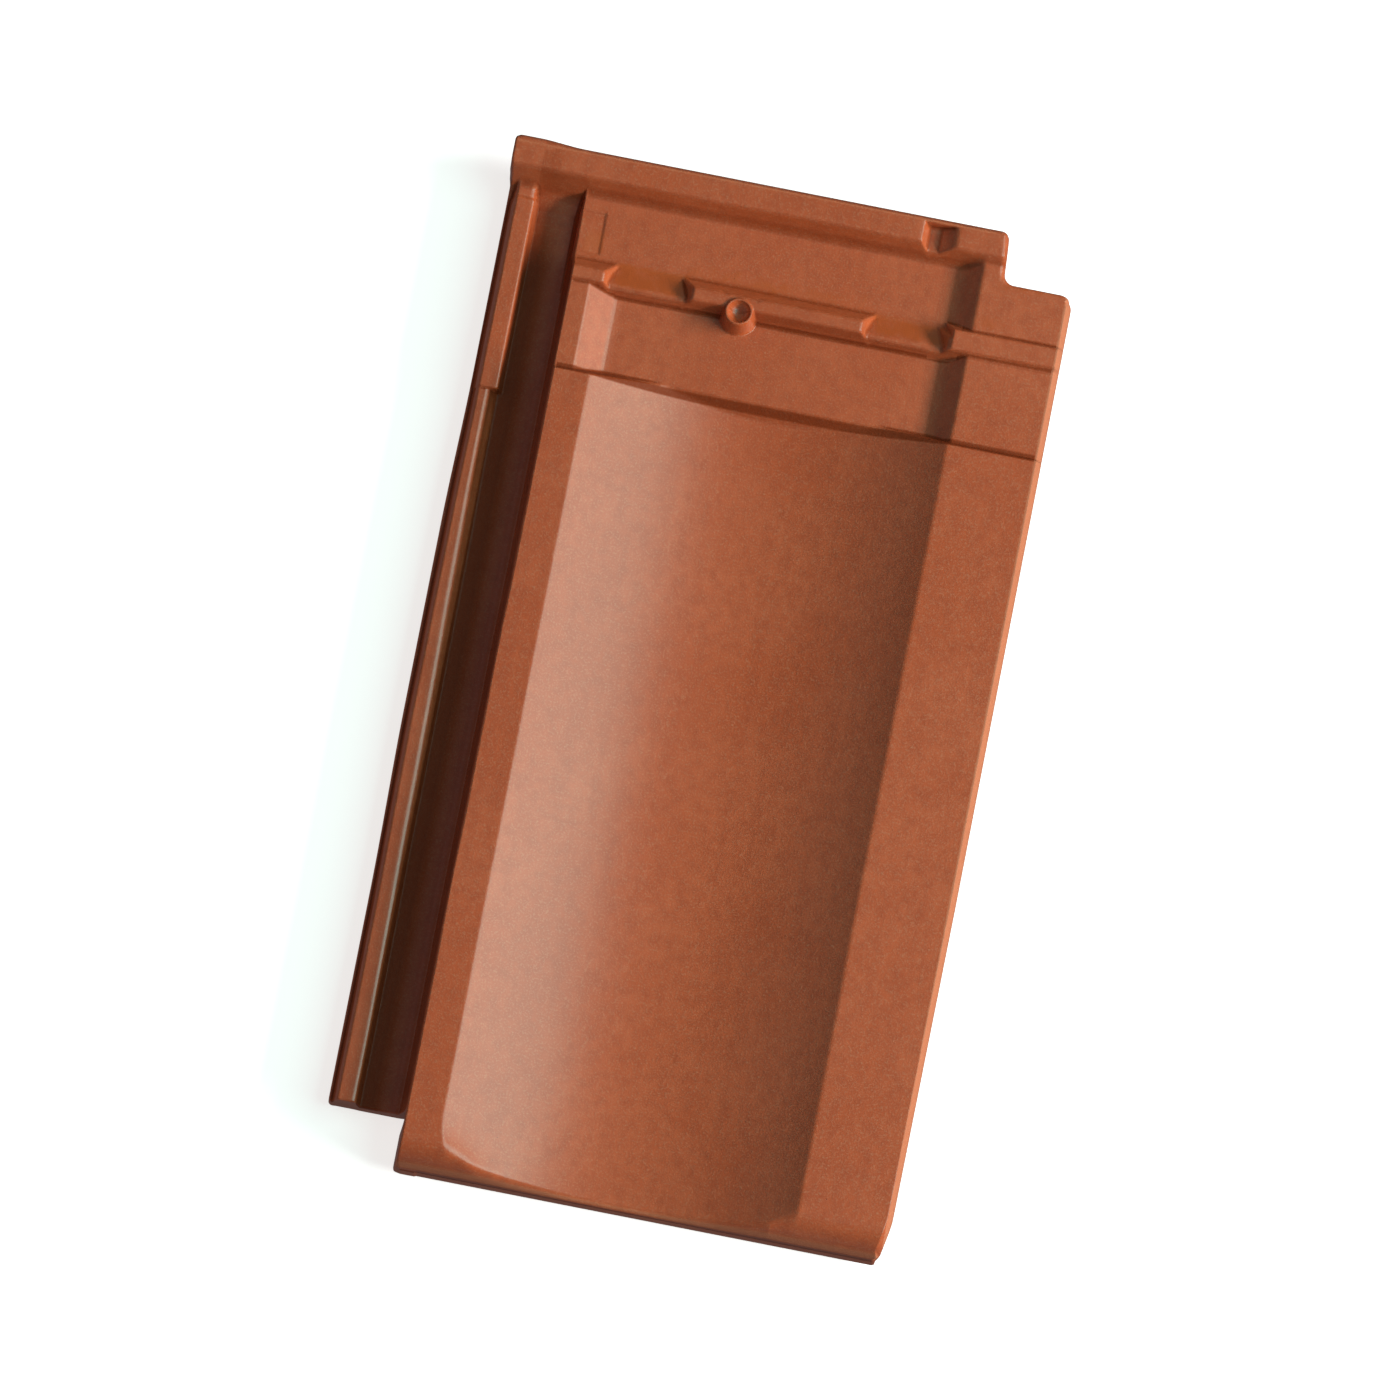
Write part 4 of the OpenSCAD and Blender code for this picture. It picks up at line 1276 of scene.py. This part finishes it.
    def add_underside(self, shell: Shell) -> tuple[np.ndarray, np.ndarray]:
        """Adds the underside: a coarser grid bent to the outline and drawn in from it, z = underside.

        Args:
            shell: The mesh being gathered.

        Returns:
            Its border's vertices, and how far round each is.
        """
        lines_u, lines_v = spaced(self.under_u), spaced(self.under_v)
        across = len(lines_u)
        grid_u, grid_v = np.meshgrid(lines_u, lines_v)
        u, v = self.outline.bent(grid_u.ravel(), grid_v.ravel())
        loop, sides, far = self.outline.walk(lines_u, lines_v)
        border = np.column_stack([u, v])[loop]
        inset = self.under_inset + self.right_draft * self.smoothed((sides == Side.RIGHT.value).astype(float), 1)
        border = border - inset[:, None] * self.outward(border)
        u[loop], v[loop] = border[:, 0], border[:, 1]
        first = shell.add(np.column_stack([u, v, self.underside.height(u, v, self.face)]))
        j, i = np.nonzero(self.outline.kept(lines_u, lines_v))
        corner = first + j * across + i
        shell.quads.append(np.column_stack([corner, corner + 1, corner + across + 1, corner + across]))
        return first + loop, far

    def meshed(self, shell: Shell) -> bpy.types.Object:
        """Turns the gathered surface into an object in metres in the CAD's frame.

        Args:
            shell: The gathered surface.

        Returns:
            The object, smooth shaded, with the attributes that its finish reads.
        """
        points = np.vstack(shell.points)
        quads, triangles = np.vstack(shell.quads), np.vstack(shell.triangles)
        used, renumbered = np.unique(np.concatenate([quads.ravel(), triangles.ravel()]), return_inverse=True)
        points = points[used]
        starts = np.concatenate([np.arange(len(quads)) * 4, len(quads) * 4 + np.arange(len(triangles)) * 3])
        totals = np.concatenate([np.full(len(quads), 4), np.full(len(triangles), 3)])
        mesh = bpy.data.meshes.new("roof_tile_clay")
        mesh.vertices.add(len(points))
        mesh.loops.add(len(renumbered))
        mesh.polygons.add(len(totals))
        placed = np.column_stack([points[:, 0] - self.middle_u, self.middle_v - points[:, 1],
                                  points[:, 2] + self.face_height])
        mesh.vertices.foreach_set("co", (placed * MM).ravel())
        mesh.loops.foreach_set("vertex_index", renumbered.ravel())
        mesh.polygons.foreach_set("loop_start", starts)
        mesh.polygons.foreach_set("loop_total", totals)
        mesh.polygons.foreach_set("use_smooth", np.ones(len(totals), dtype=bool))
        mesh.update(calc_edges=True)
        mesh.validate()
        self.mark(mesh, points)
        piece = bpy.data.objects.new("roof_tile_clay", mesh)
        bpy.context.scene.collection.objects.link(piece)
        return piece

    def mark(self, mesh: bpy.types.Mesh, points: np.ndarray) -> None:
        """Writes the edge and thin attributes, which the finish reads.

        Args:
            mesh: The mesh.
            points: Its vertices in tile millimetres.
        """
        u, v, z = points.T
        level = self.top(u, v)
        on_top = np.abs(z - level) < self.top_reach
        edge, thin = self.edges(u, v, z, level, on_top), self.thin_places(u, v)
        # the edge attribute holds painted shade below 0 and, above 0, a lighter abraded colour that is partly painted
        # highlight
        for name, values in (("edge", edge), ("thin", np.clip(thin * on_top, 0.0, 1.0))):
            mesh.attributes.new(name, "FLOAT", "POINT").data.foreach_set("value", values.astype(np.float32))

    def edges(self, u: np.ndarray, v: np.ndarray, z: np.ndarray, level: np.ndarray,
              on_top: np.ndarray) -> np.ndarray:
        """Where the finish is lighter, up to 1, and where it is darker with painted shade, down to -1.

        It is how far the top stands above or below the mean of its height a short reach away on four sides, over the
        relief that counts as a full edge: concave places get painted shade, and convex places a lighter abraded
        colour that is partly real abrasion and partly painted highlight. The channel's floor, the line along the
        water step and the lines beside the second rib get darker painted shadow than that, the second rib's right end
        and the channel's wall get less painted shade, and the lines along the head edge and the right bevel are
        painted highlights, the line along the nose is a painted reflection, and the lines along the channel's right
        and on the pad are lighter.

        Args:
            u: Places across the tile.
            v: Places along the tile.
            z: Heights of the mesh there.
            level: Heights of the top without its rounded edges and boss.
            on_top: Which places lie on the top.

        Returns:
            The values.
        """
        reach = self.edge_reach
        beside = ((reach, 0.0), (-reach, 0.0), (0.0, reach), (0.0, -reach))
        round_about = sum(self.top(u + a, v + b) for a, b in beside) / 4.0
        # concave places get painted shade and convex places the lighter abraded colour, partly painted highlight
        edge = np.where(on_top, np.clip((level - round_about) / self.edge_relief, -0.7, 1.0), 0.0)
        # painted shadow in the side channel, stronger past its head and towards its left, along the water step and
        # beside the second rib
        channel = window(u, 11.6, 34.6, 1.0) * ramp(v, 18.0, 52.0, 0.3, 1.0) * ramp(u, 29.0, 18.0, 0.1, 1.0)
        step = 0.8 * window(v, 96.9, 101.5, 0.8) * (u > 35.5)
        rib_shadow_lines = (0.45 * window(v, 46.4, 48.6, 0.6) * (u > 205.0)
                      + 0.35 * window(v, 57.6, 60.6, 0.8) * (u > 36.0))
        edge = np.minimum(edge, -np.maximum(np.maximum(channel, step), rib_shadow_lines) * on_top)
        # less painted shade on the second rib's right end and on the channel's wall
        rib_end = (np.abs(u - 202.5) < 6.5) & (np.abs(v - 53.0) < 8.5)
        edge = np.where(rib_end, np.maximum(edge, -0.25), edge)
        channel_wall = (u > 28.5) & (u < 35.0)
        edge = np.where(channel_wall, np.maximum(edge, ramp(v, 40.0, 100.0, -0.7, -0.2)), edge)
        # painted highlights along the head edge and the right bevel, a painted reflection along the nose's bottom
        # edge, and lighter lines along the channel's right and on the pad
        head_highlight = 0.55 * window(v, 1.2, 2.6, 0.5) * (u < 216.0) * on_top
        right_bevel_highlight = 0.75 * (u > 251.2) * (z > -8.0)
        nose_reflection = 0.75 * ramp(v, 464.6, 465.8) * window(z, -18.0, -7.0, 1.5)
        channel_line = 0.3 * window(u, 30.2, 31.4, 0.4) * ramp(v, 60.0, 90.0) * on_top
        pad = 0.28 * window(u, 36.0, 45.0, 2.0) * window(v, 32.0, 45.0, 3.0)
        abrasion_and_highlight_mix = np.max([head_highlight, right_bevel_highlight, nose_reflection, channel_line, pad], axis=0)
        return np.where(abrasion_and_highlight_mix > 0.02, np.maximum(edge, abrasion_and_highlight_mix), edge)

    def thin_places(self, u: np.ndarray, v: np.ndarray) -> np.ndarray:
        """Where the slip is thin, 0 to 1, the sum of soft rectangles.

        They lie by the pad, along the foot of the lock floor, in the left and right low parts of the second rib, past
        its right end, round the notch, and at the channel's head.

        Args:
            u: Places across the tile.
            v: Places along the tile.

        Returns:
            The values, which may pass 1 where rectangles overlap.
        """
        return sum(how_thin * window(u, *across) * window(v, *along) for how_thin, across, along in self.thin_patches)

    def dress(self, piece: bpy.types.Object) -> None:
        """Gives the tile its finish and ties it to the CAD's body and node.

        Args:
            piece: The tile.
        """
        piece.data.materials.append(self.finish.dressed())
        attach(piece, "root")
        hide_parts("roof_tile")


# ---------------------------------------------------------------- studio


@dataclass(frozen=True)
class SoftBox:
    """One rectangular soft light: where it stands from the tile's middle, its size in metres and its power.

    A light that isn't glossy lights the clay but isn't seen in its sheen.
    """

    name: str
    away: tuple[float, float, float]
    size: tuple[float, float]
    power: float
    colour: str = "#ffffff"
    glossy: bool = True

    def place(self, target: Vector) -> None:
        """Adds the light, turned towards the target.

        Args:
            target: The tile's middle.
        """
        light = bpy.data.lights.new(self.name, "AREA")
        light.shape = "RECTANGLE"
        light.size, light.size_y = self.size
        light.energy = self.power
        light.color = linear(self.colour)[:3]
        lamp = bpy.data.objects.new(self.name, light)
        lamp.visible_glossy = self.glossy
        lamp.location = target + Vector(self.away)
        lamp.rotation_euler = Vector(self.away).to_track_quat("Z", "Y").to_euler()
        bpy.context.scene.collection.objects.link(lamp)


@dataclass(frozen=True)
class Studio:
    """Pale floor, soft lights and a camera on a long lens, tipped to the foot of the tile and rolled.

    The two bounce lights stand below the floor, which casts no shadow, and reach the tile's outer walls through it.
    """

    floor_half: float = 40.0
    tip_deg: float = 14.0
    roll_deg: float = 11.1
    distance: float = 12.0
    across_mm: float = 617.6
    sensor_mm: float = 36.0
    world: str = "#ffffff"
    world_strength: float = 0.085
    target: tuple[float, float, float] = (0.0, -0.0021, 0.026)
    lights: tuple[SoftBox, ...] = (
        SoftBox("key_box", (4.494, 0.0, 2.192), (3.8, 0.96), 313.0, "#ffffff", False),
        SoftBox("sheen_box", (2.407, 0.0, 3.195), (3.2, 2.75), 54.0, "#bcfff4"),
        SoftBox("left_box", (-2.3, 0.3, 3.28), (2.0, 1.2), 5.0, "#ffffff", False),
        SoftBox("foot_bounce", (0.0, -3.86, -1.03), (3.0, 1.0), 13.0, "#ffffff", False),
        SoftBox("left_bounce", (-3.86, 0.0, -1.03), (3.0, 1.0), 24.0, "#ffffff", False),
    )

    def floor(self) -> None:
        """Adds the floor, one flat square under the tile."""
        half = self.floor_half
        mesh = bpy.data.meshes.new("floor")
        corners = [(-half, -half, 0.0), (half, -half, 0.0), (half, half, 0.0), (-half, half, 0.0)]
        mesh.from_pydata(corners, [], [(0, 1, 2, 3)])
        mesh.materials.append(PaleFloor().dressed())
        floor = bpy.data.objects.new("floor", mesh)
        bpy.context.scene.collection.objects.link(floor)
        # the tile stands clear of the paper's glow, as on a cut-out background, and the bounce lights pass the paper
        floor.visible_diffuse = False
        floor.visible_glossy = False
        floor.visible_shadow = False

    def camera(self) -> None:
        """Adds the camera.

        Its back points from the target along (0, -sin tip, cos tip). Its up direction is (0, cos tip, sin tip) turned
        against the roll about that line, so the tile's head leans right in the picture.
        """
        tip, roll = math.radians(self.tip_deg), math.radians(self.roll_deg)
        back = Vector((0.0, -math.sin(tip), math.cos(tip)))
        up, right = Vector((0.0, math.cos(tip), math.sin(tip))), Vector((1.0, 0.0, 0.0))
        turned_up = up * math.cos(roll) - right * math.sin(roll)
        turned_right = right * math.cos(roll) + up * math.sin(roll)
        data = bpy.data.cameras.new("camera")
        data.sensor_width = self.sensor_mm
        data.lens = self.sensor_mm * self.distance / (self.across_mm * MM)
        data.clip_end = 100.0
        camera = bpy.data.objects.new("camera", data)
        axes = Matrix((turned_right, turned_up, back)).transposed().to_4x4()
        camera.matrix_world = Matrix.Translation(Vector(self.target) + back * self.distance) @ axes
        bpy.context.scene.collection.objects.link(camera)
        bpy.context.scene.camera = camera

    def build(self) -> None:
        """Sets up the camera, the floor, the lights and the even light of the room."""
        self.camera()
        self.floor()
        for light in self.lights:
            light.place(Vector(self.target))
        room = bpy.data.worlds.new("room")
        room.use_nodes = True
        room.node_tree.nodes.clear()
        glow = add_node(room.node_tree, "ShaderNodeBackground", {},
                        {"Color": linear(self.world), "Strength": self.world_strength}).outputs[0]
        add_node(room.node_tree, "ShaderNodeOutputWorld", {}, {"Surface": glow})
        bpy.context.scene.world = room
        bpy.context.scene.view_settings.view_transform = "Standard"


def report(piece: bpy.types.Object) -> None:
    """Logs a piece's name, its counts and its box in millimetres.

    Args:
        piece: The piece.
    """
    mesh = piece.data
    co = np.empty(len(mesh.vertices) * 3, dtype=np.float32)
    mesh.vertices.foreach_get("co", co)
    co = co.reshape(-1, 3) / MM
    mesh.calc_loop_triangles()
    log.info("%s: %d vertices, %d triangles, from %s to %s mm", piece.name, len(mesh.vertices),
             len(mesh.loop_triangles), co.min(0).round(2).tolist(), co.max(0).round(2).tolist())


def main() -> None:
    """Builds the studio and the tile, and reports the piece."""
    logging.basicConfig(level=logging.INFO, format="%(name)s: %(message)s")
    Studio().build()
    tile = RoofTile()
    piece = tile.build()
    tile.dress(piece)
    report(piece)


if __name__ == "__main__":
    main()
